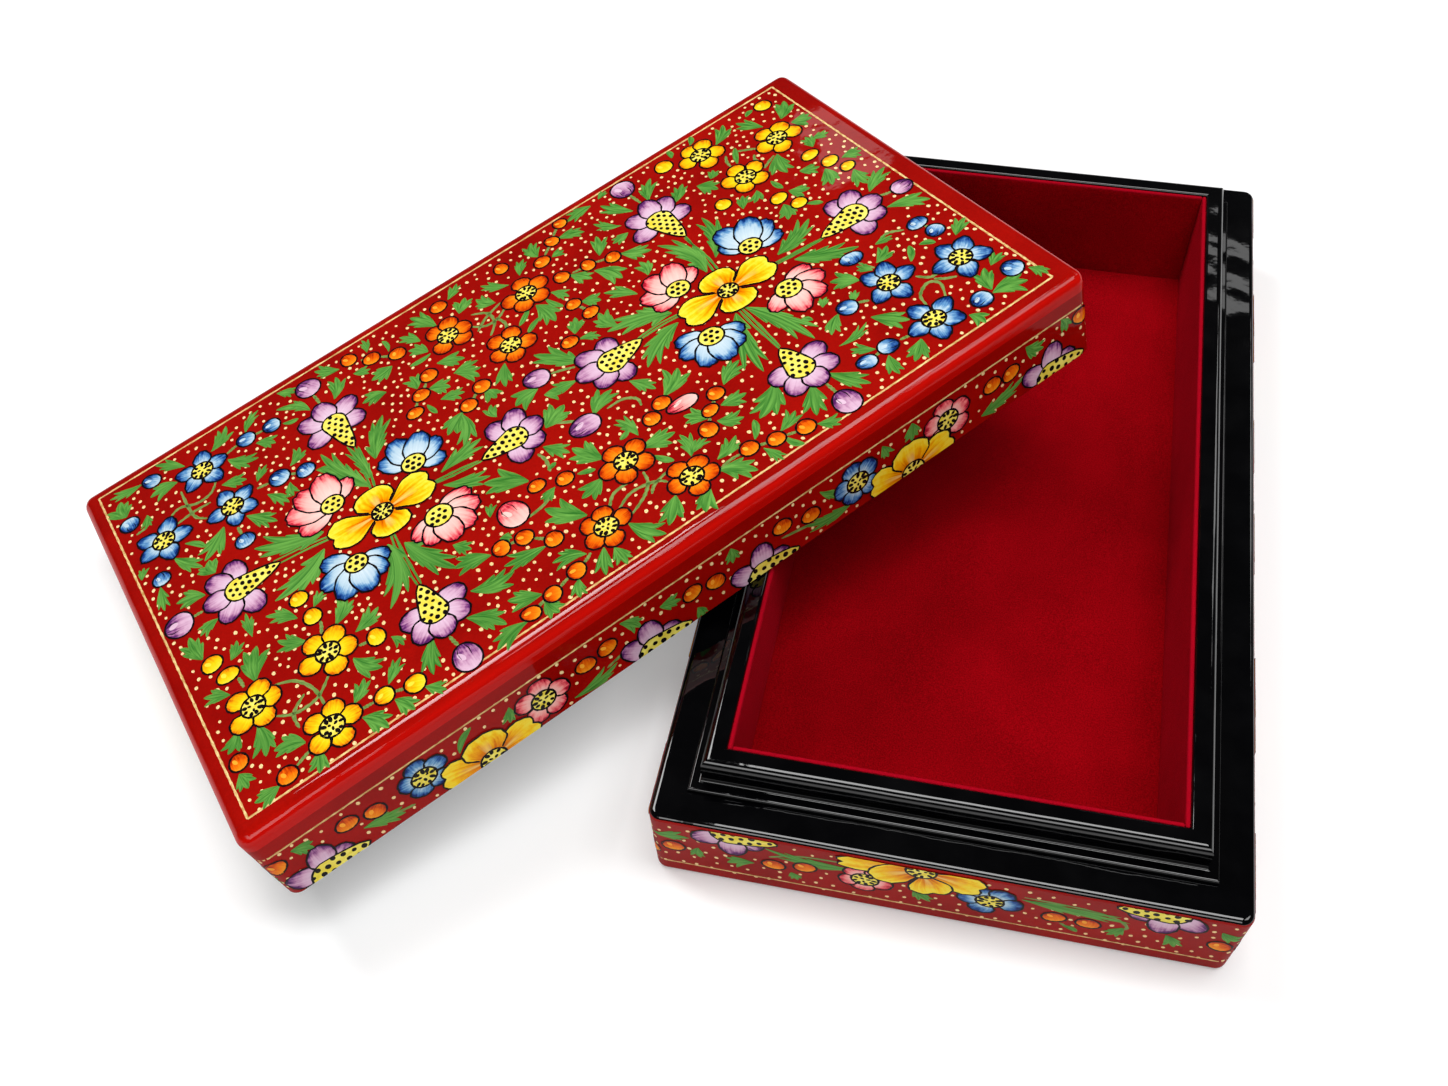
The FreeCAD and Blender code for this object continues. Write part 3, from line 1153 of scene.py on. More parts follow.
trios = {
    "stemWidth": 1.0,
    "cuts": {"blue": "point", "yellow": "round", "orange": "round"},
    # place, reach and the petals' angles
    "flowers": {
        "blue": [
            (-92.3, 54, 8.4, (150, 215, 292, 0, 72)), (-110.7, 36.3, 8.6, (138, 205, 345, 60, 270)),
            (-90, 33, 8.2, (180, 262, 320, 28, 100)), (90.3, -35.5, 8.7, (116, 206, 275, 0, 62)),
            (109.8, -42.5, 8.9, (103, 178, 255, 333, 42)), (89.8, -55.8, 8.7, (182, 252, 315, 22, 100)),
        ],
        "yellow": [
            (-109.7, -36.5, 8, (122, 215, 285, 355, 55)), (-87.7, -35, 8.2, (112, 190, 270, 340, 50)),
            (-95.5, -56.5, 7.8, (130, 208, 280, 0, 64)), (86.3, 56.3, 7.8, (110, 182, 268, 335, 50)),
            (107.2, 43.7, 8, (108, 190, 260, 348, 44)), (89.8, 35.7, 7.8, (95, 165, 232, 302, 18)),
        ],
        "orange": [
            (-12, 46.8, 8, (125, 225, 305, 0, 64)), (14.3, 44.2, 8, (80, 176, 235, 305, 14)),
            (0.2, 27.8, 7.8, (120, 200, 262, 332, 58)), (2, -36.8, 7.8, (104, 176, 238, 315, 28)),
            (-13.3, -52.3, 7.4, (137, 202, 268, 355, 74)), (12, -54.3, 7.4, (106, 180, 262, 330, 40)),
        ],
    },
    # place, width, height and angle
    "buds": {
        "blue": [
            (-106.2, 62.3, 5.4, 6.2, 40), (-117, 50.3, 6, 5.8, 180), (-77.3, 55.6, 5.8, 6, 60),
            (-69, 54.8, 5.8, 5.6, 80), (-75, 32.8, 6.4, 6.4, 30), (-67.8, 29.6, 5.8, 5.6, 10),
            (-115.8, 23, 5.4, 5.2, 0), (-91.6, 18, 6, 5.6, 0), (89.3, -19.6, 7, 5.4, 170),
            (76.6, -34.7, 6, 6.2, 50), (110.8, -22, 6.4, 5, 0), (112.3, -28.3, 5.6, 5.4, 120),
            (67.8, -55.3, 5.2, 6, 70), (75.2, -54.8, 5.6, 6, 250), (103, -59.5, 6.2, 6.2, 100),
            (116.3, -56.3, 6.4, 6.4, 20),
        ],
        "yellow": [
            (-114, -15.8, 6, 5.8, 20), (-111.7, -22.3, 6.4, 5, 0), (-87.3, -13, 5.4, 5.4, 0),
            (-86.5, -21.2, 5.2, 5.8, 0), (-75.7, -39.8, 5, 6, 0), (-81.5, -57.8, 5.4, 5.4, 90),
            (-73.8, -60, 5.8, 5.8, 60), (75.2, 61.3, 6, 6.2, 0), (113.9, 61.3, 5.8, 5.4, -40),
            (77.8, 30.3, 5.2, 5.4, 0), (109, 28.3, 6, 4.8, 10), (90.8, 19, 5.8, 5, 20),
            (93.7, 12.5, 5.2, 5, 0), (111.3, 21, 5.8, 5, 20), (113.4, 14.7, 5, 4.4, 20),
        ],
        "orange": [
            (-118.6, -49.3, 5, 5.4, 0), (-109.9, -61.5, 5.6, 5.4, 0), (-39.7, 62, 5, 5.8, 10),
            (-34, 56.8, 5.6, 5.4, -30), (-27, 52.3, 5.6, 5.2, -40), (-8.5, 61, 5.6, 5.4, 0),
            (14, 60.8, 4.8, 5.4, 0), (31.7, 59, 4.6, 5.2, 30), (37.7, 64.5, 4.6, 4.8, 40),
            (24.8, 53, 5.6, 5.2, 20), (25.7, 41.8, 5, 5.6, 20), (34.2, 40, 4.6, 5.6, 0),
            (41.5, 37, 5, 5.2, -20), (-23.9, 36, 5.6, 5.6, 0), (-29.2, 30.3, 5.6, 5.2, 0),
            (-33.7, 25, 5.4, 4.6, 0), (-14.2, 19.3, 5.6, 5.6, 20), (-20.5, 15.4, 5.4, 5.4, 0),
            (22.3, 28.3, 5, 4.8, 0), (24.3, 21.2, 5.6, 4.8, 20), (13.5, 15, 5.6, 5, 0),
            (-20.3, -26.3, 5.2, 4.6, 0), (-13.3, -29.8, 5.2, 5, 0), (-37.7, -38.3, 5.6, 5, 80),
            (-31.3, -39.5, 5.2, 5.4, 30), (-25.6, -45.7, 5.2, 5.4, 0), (-41.5, -62.3, 4.6, 5.6, 60),
            (-34.4, -61, 5.2, 5, 70), (-26.2, -59, 5.6, 5.2, 60), (15, -29, 5.2, 5.4, 0),
            (20, -26, 5.6, 5.2, 0), (32.6, -34.2, 5.2, 5.2, 0), (28.1, -38.4, 5.2, 4.4, 20),
            (24, -43.8, 5.4, 6, 0), (28.1, -57.3, 5.4, 5.2, 0), (35, -59.8, 5.2, 5, 0),
            (42.9, -62, 5.4, 5.4, 0),
        ],
        "mauve": [
            (-54.3, 60.8, 7.8, 8.2, 30), (-117, 3.3, 8.6, 8.2, 80), (-60, -62.3, 7.6, 9.2, 0),
            (-0.9, 9.3, 7.4, 8.2, 60), (0.3, -17.3, 8, 9.4, 90), (60.2, 62.3, 7.8, 8.4, 180),
            (55.7, -62.6, 7.6, 9, 0), (118, -5.8, 6.4, 6.8, 270),
        ],
        "pink": [
            (-29.8, -30.2, 8.4, 10, 10), (24, -30.6, 5.4, 9.6, 85),
        ],
    },
    "stems": [
        [(-100.4, 51), (-100.6, 44), (-100.2, 38), (-97.6, 34.6)],
        [(-107, 43), (-103, 45), (-98, 42.6), (-93.4, 43.2), (-90.6, 46.4)],
        [(-105.6, 39.4), (-100, 40.2), (-94.6, 39.8)], [(-116.6, 45), (-113, 45.8), (-111.6, 49.4)],
        [(-103, -34.2), (-98, -37), (-95, -43), (-94.6, -50)],
        [(-106, -43.4), (-101.6, -46.2), (-95.4, -46), (-90.2, -41.6)],
        [(-102.4, -51), (-102, -46), (-97.6, -42.4)], [(-5, 44.6), (-1.6, 41.4), (2.6, 41.2), (7, 44)],
        [(-4.4, 41), (0, 44.4), (6.6, 47)], [(2.4, 42), (3.4, 37.6), (2, 34)],
        [(-2.6, 49.4), (1.4, 46), (1.2, 40.6), (-2.4, 36.2)], [(-9.6, -47.6), (-6, -44), (0.6, -43.8)],
        [(-6.2, -53.6), (-1, -51), (2.4, -47.6), (3.4, -43.4)],
        [(-8, -49.8), (-2.6, -47.2), (4, -48.6), (6.4, -51.2)], [(1.2, -51.6), (3.4, -49.4), (8.2, -48)],
        [(91.8, -50.4), (93, -46), (97.4, -43.6), (99.6, -46.4), (97, -52)],
        [(96.8, -39), (99.4, -42.4), (102.6, -42.6)], [(99.6, -43.6), (101.6, -45.8), (104.4, -47.6)],
        [(97.8, 42.6), (96.6, 40.4), (97, 38.2)], [(91.4, 49.4), (90, 46.6), (89.6, 43.8)],
        [(94.2, 49.2), (98, 46.2), (100, 44.6)], [(101.6, 37.2), (98.2, 35.6), (96.2, 34.4)],
        [(8, -16.4), (13, -16.6), (16, -19.4), (15.6, -22.6)], [(98, -20.2), (102.4, -18.8), (106.6, -21.4)],
        [(-36.6, 59), (-36, 57.6), (-35.4, 57)], [(-31.6, 55.4), (-30, 53.8), (-29, 53.2)],
        [(-26, 33.6), (-27, 32.4), (-27.6, 31.8)], [(-31.4, 28.4), (-32.4, 27), (-33, 26.4)],
        [(-16.6, 18), (-18, 17), (-18.8, 16.4)], [(29, 40.8), (31, 40.4), (32.4, 40.2)],
        [(36.4, 39.4), (38, 38.6), (39.6, 38)], [(27, 55), (28.8, 56.6), (30.2, 57.6)],
        [(33.4, 61), (34.8, 62.4), (36, 63.4)], [(23, 26.4), (23.6, 24.6), (24, 23)],
        [(-35.2, -38.6), (-34.4, -38.8), (-33.6, -39)], [(-29.4, -41.6), (-28.2, -43), (-27, -44.2)],
        [(-39, -61.8), (-38, -61.4), (-36.8, -61.2)], [(-31.8, -60.4), (-30.4, -59.8), (-28.8, -59.4)],
        [(-23.6, -58.2), (-22.2, -57.6), (-20.6, -56.6)], [(30.6, -58.2), (31.6, -58.8), (32.6, -59.2)],
        [(37.6, -60.6), (39, -61.2), (40.2, -61.6)], [(18.8, -57.6), (22, -57), (25.4, -57.2)],
        [(26.6, -40.6), (25.8, -41.6), (25.2, -42.6)], [(31, -36), (30.2, -36.8), (29.6, -37.4)],
        [(-85.4, -24.2), (-86, -26.4), (-86.8, -28.2)], [(-109.8, -25), (-109.6, -27), (-109.6, -29)],
        [(-87.8, -57.2), (-86, -57.4), (-84.4, -57.6)], [(-78.8, -58.4), (-77.6, -59), (-76.6, -59.4)],
        [(-107, -60.6), (-104.6, -59.6), (-103, -59)], [(-80.4, -39), (-79.2, -39.4), (-78.2, -39.6)],
        [(-84, 54.6), (-82, 55.2), (-80.2, 55.6)], [(-74.4, 55.4), (-73.2, 55.2), (-72, 55)],
        [(-81.8, 34), (-80, 33.6), (-78.4, 33.2)], [(-71.8, 31.6), (-71.2, 31), (-70.6, 30.6)],
        [(-91.6, 24.4), (-91.6, 22.6), (-91.6, 21)], [(78.8, -55.2), (80.4, -55.6), (82, -56)],
        [(70.8, -55), (71.6, -55), (72.4, -54.8)], [(79.6, -35.2), (81, -36), (82.4, -37)],
        [(89.6, -22.4), (90.2, -25), (91.4, -27.6)], [(111.6, -24.6), (111.8, -25.2), (112, -25.6)],
        [(-14.6, -16.4), (-14, -20), (-15, -24.6)], [(3.6, -17.6), (-1, -13.6), (-6, -9.6)],
        [(3, 8), (6.4, 6.6), (9.6, 4.8)], [(-54, 51.8), (-54, 54), (-54.2, 56.8)],
        [(-110, 3), (-111.4, 3.2), (-112.8, 3.2)], [(-60.8, -53.4), (-60.6, -55.6), (-60.2, -57.8)],
        [(60.8, 52), (60.6, 55), (60.4, 58.2)], [(55.6, -53.6), (55.6, -56), (55.6, -58.2)],
        [(111.4, -4), (113, -4.8), (114.8, -5.2)], [(-27.6, -34.4), (-22, -33.6), (-17.6, -31.4)],
    ],
}
# Leaves: root, tip and width
lidLeaves = [
    (-109, 63.5, -119, 65.4, 4), (-117, 54.2, -117, 61.6, 7), (-96, 60, -103.4, 68, 4.4),
    (-100, 55.6, -108.6, 55.4, 6), (-87.4, 59.4, -80, 66, 5.2), (-76.4, 58.6, -69.8, 64.6, 3.6),
    (-62.6, 66.6, -57.8, 62, 4), (-84.6, 52, -77.2, 45, 5), (-75.4, 51.6, -70.6, 47, 4.8),
    (-66, 52.8, -61.4, 51, 2.4), (-65.4, 59.8, -60, 56.4, 2.6), (-111.6, 50, -113.6, 44.6, 3.2),
    (-89.6, 43.6, -82.6, 40.4, 4.6), (-80.8, 36.6, -76.2, 41, 3.2), (-70.8, 34.6, -65.6, 39.4, 4.2),
    (-120.6, 27, -118.6, 31, 3), (-110.4, 27.6, -104.6, 18.2, 4.8), (-94.8, 27.6, -103.6, 19.6, 6.4),
    (-106, 30.4, -101.6, 24.4, 2.6), (-88, 26.4, -81.8, 17.4, 5), (-80.2, 29.4, -76.4, 21.4, 3.8),
    (-73.2, 28.6, -74, 22.8, 3.6), (-65.4, 27, -62.2, 23.6, 3.2), (-117, 20.4, -118.6, 11.2, 3.6),
    (-102.6, 13.4, -103, 19, 6.4), (-107.6, 8, -115.2, 11.4, 5.6), (-72.8, 3.6, -90.6, 13.4, 7.6),
    (-75, -2.2, -93, -8.6, 7.2), (-115.6, -12.4, -116.8, -2.8, 6), (-107.4, -2.6, -113.4, -4.8, 4),
    (-102, -15.4, -100.8, -6.6, 3.2), (-109.4, -18.4, -105.6, -13.6, 3.8), (-90, -18.8, -97, -12, 4.6),
    (-85, -18.6, -80.6, -15.2, 3.2), (-106.4, -29.4, -101.4, -19.4, 7.4),
    (-113.4, -28.6, -119.6, -24.6, 4.4), (-90.8, -27.6, -97.4, -22, 5), (-82.6, -28.4, -76.4, -21.4, 5.4),
    (-79.4, -34.4, -71.4, -31, 5), (-60.6, -14, -68.8, -34.8, 6.4), (-83.2, -41.6, -78.2, -49.6, 6),
    (-72.6, -42.6, -71.4, -47.6, 3), (-115.8, -40.6, -120.4, -45, 4.8), (-110.8, -42.6, -113, -52.6, 6),
    (-119.6, -52.6, -119, -58, 4.6), (-102.8, -56, -110, -52.2, 6.4), (-88.4, -54.4, -83.6, -49, 4.4),
    (-79.2, -55.4, -73.4, -50, 3.8), (-64.4, -50.6, -69.2, -61, 5.2), (-112.6, -62.8, -119.4, -63.4, 5),
    (-100.8, -60.6, -103.8, -66.4, 5), (-88.4, -59.6, -84.2, -67, 5.6), (-79.8, -60.6, -77.2, -67, 4.8),
    (-72.2, -62.6, -68, -67, 3.6), (-43.6, 60.6, -50, 66, 4.8), (-34, 60.6, -33, 67, 3),
    (-49.8, 49.8, -45.8, 58.4, 5.2), (-57.4, 51.4, -62.2, 59, 4), (-41, 55.2, -36, 53, 3.8),
    (-30.6, 48.6, -38, 48, 6), (-28.6, 55.4, -28.4, 61.4, 2), (-19.4, 51.6, -23.2, 58.6, 4.6),
    (-12.8, 53.6, -17.8, 63.6, 6), (-5, 53, -0.8, 58.4, 5.6), (-4.8, 61.6, 0.4, 66.4, 3.6),
    (-36.6, 39.8, -44, 41.4, 5.6), (-19.6, 45.4, -23.8, 50.8, 5.2), (-19.4, 44, -26.6, 44.2, 2.6),
    (-19.8, 38.6, -12.2, 34.4, 5.8), (-29, 33.6, -28.8, 40, 5), (-26.2, 30.8, -21, 26.4, 5.4),
    (-18, 30.6, -10, 29.6, 4.2), (-17.4, 30, -12.4, 23.6, 5.2), (-25.6, 24, -19, 20.8, 4.4),
    (-29.6, 25.2, -29, 19.8, 2.2), (-4.8, 22.4, -9.2, 13.6, 5.2), (-14.2, 17, -13.4, 11.6, 5.2),
    (-23, 14.4, -30.4, 9.4, 6), (-23.6, 13.6, -28.8, 2.2, 5.6), (-16.6, 5, -16, 10.6, 4),
    (-2.6, 5.6, -10.6, 4.2, 7.6), (-55.8, 9, -62, 32, 6), (-54.6, 12, -55.2, 28.6, 3.4),
    (-50.2, 17.6, -40.8, 31.6, 6.2), (-38, -1.8, -23.6, 0.8, 5.6), (-39.6, -6.6, -28, -13.4, 5),
    (-21.2, -23.2, -31, -14.6, 8.4), (-8.2, -9.6, -0.2, -5.4, 7.8), (-2.4, 2, 1.6, -1.4, 4.4),
    (-12.2, -15.2, -7.4, -22.6, 4.6), (-15.4, -23.6, -12.2, -23, 2), (-2.2, -31.4, -6.4, -21.6, 7),
    (-56.8, -17, -49.2, -35.4, 6.4), (-35, -26.6, -32.6, -22.6, 3), (-47, -27.6, -43.6, -32.6, 4),
    (-40.8, -38.2, -50.4, -35, 6.2), (-36.4, -35, -33.8, -37.4, 3), (-50.2, -44.8, -38.4, -47.6, 6.4),
    (-28.4, -46.2, -39.8, -43.6, 5.4), (-15.2, -45.2, -22.4, -34.8, 8), (-6, -37.2, -13.4, -39.4, 6.2),
    (-16.8, -30.4, -21.4, -33.2, 3.6), (-10, -31, -5.6, -33.4, 2.4), (-21.6, -56.2, -30, -52.8, 5),
    (-36.6, -59, -44.4, -54.6, 6.2), (-54.8, -51.6, -47.2, -60.4, 6.2), (-43.4, -63.8, -53.4, -66.2, 5.4),
    (-37, -61.6, -35.8, -67.2, 5.2), (-27, -61.6, -29.2, -67.2, 4.2), (-17.2, -57.6, -21.4, -65.6, 4.8),
    (-15.2, -59.6, -15.8, -66.6, 4.6), (-8.4, -55.6, -2.6, -65.4, 6), (5.4, -56.6, -0.8, -64, 6.2),
    (12.2, 52, 5.6, 59, 4.2), (16.8, 53.2, 21.4, 59, 3.8), (5.4, 48.2, 1.6, 54.4, 5.2),
    (25, 56.2, 26.2, 64, 5.2), (28.2, 52.4, 32.4, 52.2, 3.8), (33.8, 58.6, 41.4, 54.6, 5),
    (49, 64, 39.6, 63.4, 5.4), (52.4, 64.8, 56.2, 66.4, 3), (57, 50.6, 51, 61.4, 5.2),
    (63.2, 51, 69.2, 60, 5.2), (50.8, 47.6, 44.8, 55.4, 3.8), (50.6, 43, 44.6, 42.4, 4.2),
    (39, 41, 43.2, 49.4, 5.2), (28, 40.6, 31.8, 33.4, 5), (34.4, 36.2, 38.8, 26.4, 7.2),
    (44, 36.4, 51.4, 30, 5.6), (20, 38.4, 23.4, 32.4, 3.8), (14, 37, 15, 26, 6.6),
    (12.6, 31.6, 6.4, 28, 2.6), (11.8, 37.8, 6, 32.8, 2.6), (17.4, 37, 19.8, 29.8, 2.6),
    (24.8, 27.2, 29.6, 23.6, 5.4), (44.8, 21.4, 45.8, 28.6, 5), (38.2, 16.8, 31.2, 25.2, 5.2),
    (16.4, 16.8, 20.2, 22.6, 5), (27, 10, 26, 19, 6.2), (16, 13.8, 21.6, 10.2, 3.4), (11.2, 6, 3.6, 19, 7),
    (41, 2, 23.6, 10.4, 7.8), (7.2, -0.2, -0.4, 2, 4.4), (57.6, 8.6, 54, 30.6, 6), (63, 12, 69.8, 30.6, 5.8),
    (40.2, -2.8, 24.6, -12, 6.6), (4.2, -15.6, 12.6, -10.6, 6.2), (18, -12, 21.8, -20.4, 4.6),
    (22, -24.4, 30, -17.6, 7.4), (9.2, -31.4, 7.6, -21.8, 4), (8.6, -27.6, 4.6, -29, 2.4),
    (53.8, -12.6, 46, -37.4, 6.4), (57, -12.6, 64, -37.6, 6.4), (36, -33.2, 44.4, -29, 5.6),
    (31.2, -39, 38.6, -40.8, 5.2), (27.4, -43, 33.6, -46.8, 5.2), (26.2, -40.4, 21.6, -34.8, 5.6),
    (7.4, -35.8, 17, -38.4, 6.2), (8.4, -40.8, 11.4, -46.4, 2.8), (15.6, -48.4, 17.6, -39.6, 4.2),
    (16, -47.6, 22.4, -46.2, 3.2), (20, -54.4, 28, -50.6, 4.8), (31, -55.8, 34.8, -50, 2.8),
    (37.4, -58.4, 44.2, -55.2, 4.6), (45.8, -43.2, 35.6, -50.4, 8.2), (52.6, -51.2, 46.6, -60.6, 6.2),
    (58, -50.6, 64.4, -62, 5.4), (18.4, -57.8, 25.4, -65.4, 6.2), (30.8, -60, 32.2, -67.2, 3),
    (37, -61, 39.4, -66.6, 2.8), (45.6, -63.4, 51.4, -66.4, 4), (13.2, -61.2, 8.2, -67, 6),
    (68.4, 43.2, 74.4, 49.4, 4.8), (77.2, 44.4, 80.8, 37.6, 5.6), (92.6, 56.8, 100, 63.4, 5.6),
    (79.4, 63, 80.2, 67.2, 2.6), (87, 63.6, 89.2, 67.6, 2.6), (107.6, 52, 103.2, 61, 5),
    (107, 61, 110.4, 62.2, 2.6), (113.8, 50.6, 120, 57.4, 6.6), (114.8, 46.4, 120.4, 43, 6),
    (91.8, 43.2, 95.8, 50.4, 2.6), (82, 43.8, 85, 46.8, 3.6), (112, 30.8, 113, 36.8, 4.4),
    (114, 34, 119.4, 32.4, 3.6), (102.6, 36.8, 99.6, 26.8, 7), (80.8, 23.6, 84, 29, 4),
    (88.4, 27.4, 84.6, 23, 4.2), (93.8, 27.6, 94.2, 21.8, 2.6), (102.4, 24.4, 107.6, 21, 4.8),
    (94.8, 19.4, 99.6, 15, 5.2), (90.2, 15.4, 86.8, 8.8, 5.6), (108.2, 19, 104.8, 11.2, 6),
    (114.6, 19.2, 120.4, 16.8, 4.6), (113.6, 11.8, 112.4, 3, 5.4), (110.4, -0.2, 120.4, 5.2, 5.2),
    (76, -1.6, 91.4, 4.4, 6), (95, 10.2, 98.6, 6.8, 2.6), (78.2, -7.2, 94, -17, 6.4),
    (109.6, -9.8, 120.2, -16.4, 6.2), (97.4, -20, 103, -20.6, 3), (85.4, -28.4, 79.6, -22.4, 6.2),
    (90.4, -28, 88.2, -23.2, 3.2), (93, -26.4, 99.4, -23.2, 5), (72, -29.4, 75, -26.6, 3),
    (67.2, -31.4, 65.2, -28.6, 2.6), (73.4, -34.8, 67.6, -40.4, 5), (78.8, -34.2, 82.4, -30.8, 3),
    (99.8, -33.4, 103.2, -27.6, 2.8), (105.6, -29.6, 109.4, -32.2, 2.8), (114.8, -34.4, 121, -30.2, 4.6),
    (66.2, -45, 76.8, -43, 3), (78.8, -42.6, 84.8, -51.6, 6.2), (72.2, -53.2, 67.6, -48, 3.8),
    (82.8, -59.2, 76.6, -64.6, 5.6), (73.2, -57.6, 70.8, -65, 4.6), (97, -61.6, 98.2, -67.2, 4.6),
    (106.6, -59.8, 115.6, -63.8, 7), (107.2, -58.6, 110.8, -50.4, 6), (113.2, -51.2, 118.4, -49.2, 3.8),
    (119.2, -59.4, 120.8, -65.4, 3.6),
]


def ruleLine(panel, width, start, end):
    # a fine gold line ruled with a long brush
    (x0, y0), (x1, y1) = start, end
    count = max(int(math.hypot(x1 - x0, y1 - y0) / hairlines["step"]), 2)
    points = [(x0 + (x1 - x0) * k / count, y0 + (y1 - y0) * k / count) for k in range(count)]
    inkLine(panel, points + [end], width, brush["stemLift"], "goldLine")


def paintLidTop():
    border = newPanel("lid", lidTopPoint)
    y = hairlines["topY"]
    left, right = layout["bandShift"] - hairlines["topX"], layout["bandShift"] + hairlines["topX"]
    corners = [(left, -y), (right, -y), (right, y), (left, y), (left, -y)]
    for start, end in zip(corners, corners[1:]):
        ruleLine(border, hairlines["topWidth"], start, end)
    finishPanel(border)
    panel = newPanel("lid", paintedTopPoint)
    for points in bouquets["stems"]:
        paintStem(panel, points, bouquets["stemWidth"], "leaf")
    for points in trios["stems"]:
        paintStem(panel, points, trios["stemWidth"])
    for leaf in lidLeaves:
        paintLeaf(panel, *leaf)
    for kind, group in trios["flowers"].items():
        for flower in group:
            paintFlower(panel, kind, *flower, cut=trios["cuts"][kind])
    for kind, group in trios["buds"].items():
        for bud in group:
            paintBud(panel, kind, *bud)
    for fan in bouquets["fans"]:
        paintFan(panel, *fan)
    for thistle in bouquets["thistles"]:
        paintThistle(panel, *thistle)
    for gold in bouquets["gold"]:
        paintGold(panel, *gold)
    count = sprinkleDots(panel, dots["lidX"], dots["lidY"], dots["lidTries"], dots["lidGap"])
    finishPanel(panel)
    print("lid top painted, cream dots:", count)


# The side bands: x along the wall, then the height over the lid's skirt or down from the tray's rim
longGold = [(164, 14.6, 10.4, "heart"), (16, 14.6, 10.4, "heart"), (90, 11, 12.4, "broad")]
shortGold = [(174, 21, 7.6, "heart"), (152, 14, 10, "broad"), (16, 16.4, 10.4, "heart"),
             (68, 12.8, 11, "heart")]
longBand = {
    "lidStretch": 1.0,
    "trayStretch": 1.25,
    "halfThistles": [(-114.6, 0.6, 1), (-17.4, 0.0, 1), (17.4, 0.0, 1), (115.4, 0.6, 1)],
    "halfGolds": [(-68, 0.6, longGold), (66, 0.2, longGold)],
    "flowers": [
        ("blue", -84.2, 10.2, 7.2, (100, 170, 240, 310, 30)),
        ("pink", -49.8, 8.8, 7.8, (80, 150, 230, 300, 10)),
        ("blue", 49.2, 9.6, 7.6, (100, 172, 240, 315, 35)),
        ("pink", 79.4, 9.8, 7.8, (95, 165, 235, 310, 25)),
    ],
    "buds": [
        (-124.4, 13), (-105.2, 12.2), (-98.2, 10), (-36.4, 10.6), (-29.6, 11.6), (-3.8, 10.4), (3.2, 8.8),
        (25.2, 12), (33.8, 9.2), (94.8, 11.2), (101.2, 11), (126, 14.6),
    ],
    "stems": [
        [(-98, 5.4), (-90, 3.2)], [(-32, 4.6), (-25, 6.4)], [(33, 6), (24, 8)], [(102, 5.8), (110, 7.2)],
    ],
    "leaves": [
        (-103, 7, -93, 2.6, 5), (-119, 15.6, -114.6, 11.4, 4.6), (-74, 10, -68, 16, 2.8),
        (-58, 14, -60, 8.6, 3.6), (-43, 2, -29, 4.8, 4.6), (-24, 16.6, -19.4, 10.6, 4.8),
        (-13, 13, -7, 11.2, 4.6), (-4, 4, -3.4, -1, 3.6), (10, 16.4, 9, 11, 4), (46, 3.6, 31, 6.4, 4.4),
        (38, 15, 44, 10, 3.2), (58.6, 16, 60, 11, 3.6), (68.6, 17, 67.4, 11, 5), (90, 2.6, 105, 6.2, 4.4),
        (107, 16.4, 113, 12.4, 5.2), (119.4, 17.6, 121, 12.4, 4.2),
    ],
}
shortBand = {
    "lidStretch": 0.8,
    "trayStretch": 1.0,
    "halfThistles": [(-50.0, 1.6, 1), (52.0, 1.6, -1)],
    "halfGolds": [(-4.5, 2.4, shortGold)],
    "flowers": [
        ("pink", -17.6, 13.2, 7, (95, 160, 235, 305, 20)),
        ("blue", 12.8, 12.6, 7.8, (110, 180, 240, 300, 5)),
    ],
    "buds": [
        (-66, 13.8), (-40.4, 14.4), (-32.6, 12.6), (28.4, 15), (36.6, 15.2), (67.2, 14.4),
    ],
    "stems": [
        [(-21.8, 5.8), (-33.5, 6.7), (-41.5, 10.3)],
        [(20.4, 6.7), (33.8, 7.2), (41.9, 9.4), (45.5, 13.9), (41.9, 17.5)], [(30.2, 17.9), (34.7, 21.5)],
    ],
    "leaves": [
        (-71, 8.4, -61.6, 7.2, 4.6), (-59.6, 12.6, -59.4, 18.4, 3.8), (-45.4, 15.6, -52.4, 18.4, 5.4),
        (-20, 8.6, -43, 5.6, 4.6), (-5.4, 13.6, -1.4, 19.8, 4.4), (20, 8.2, 46, 10.4, 4.4),
        (44.6, 14, 42, 20, 4), (54.6, 13.6, 57.4, 20, 4.4), (66, 6.4, 71, 10.2, 4.6),
        (-36, 17.2, -34.4, 21.4, 3.4), (31, 19, 35, 21.4, 2.6),
    ],
}
# Marks that both bands share
bandMarks = {
    "stemWidth": 1.0,
    "bud": (6.0, 5.2),
    "flowerEye": 6.8,
    "flowerWidth": 0.86,
    "goldEye": (7.4, 6.8),
    "thistlePetals": ((36, 9.6), (142, 11.6), (88, 12.0)),
    "thistleStart": 2.0,
    "coneHead": 0.8,
    "coneTip": (10.6, 1.0),
    "coneWidth": 11.0,
    "coneDot": 1.5,
    "thistleRoom": (5, 4, 6.0),
}


def paintHalfThistle(panel, x, z, way, rise, turned):
    # a dotted cone along the cut edge, its round end hung with mauve petals
    lift = brush["flowerLift"]
    petals = bandMarks["thistlePetals"]
    head = (x - bandMarks["coneHead"] * way, rise(z - bandMarks["coneHead"]))
    for k, (turn, reach) in enumerate(petals):
        angle = math.radians(turned(turn if way > 0 else 180 - turn))
        paintPetal(panel, "mauve", *head, angle, reach, flowers["thistlePetal"], layerAt(lift, k),
                   bandMarks["thistleStart"], pale=flowers["thistlePale"])
    tipX, tipZ = bandMarks["coneTip"]
    tip = (x + tipX * way, rise(z + tipZ))
    paintCone(panel, tip, head, bandMarks["coneWidth"], layerAt(lift, len(petals)), bandMarks["coneDot"])
    wide, high, radius = bandMarks["thistleRoom"]
    keepClear(panel, x - wide, rise(z), radius, x + wide, rise(z + high))


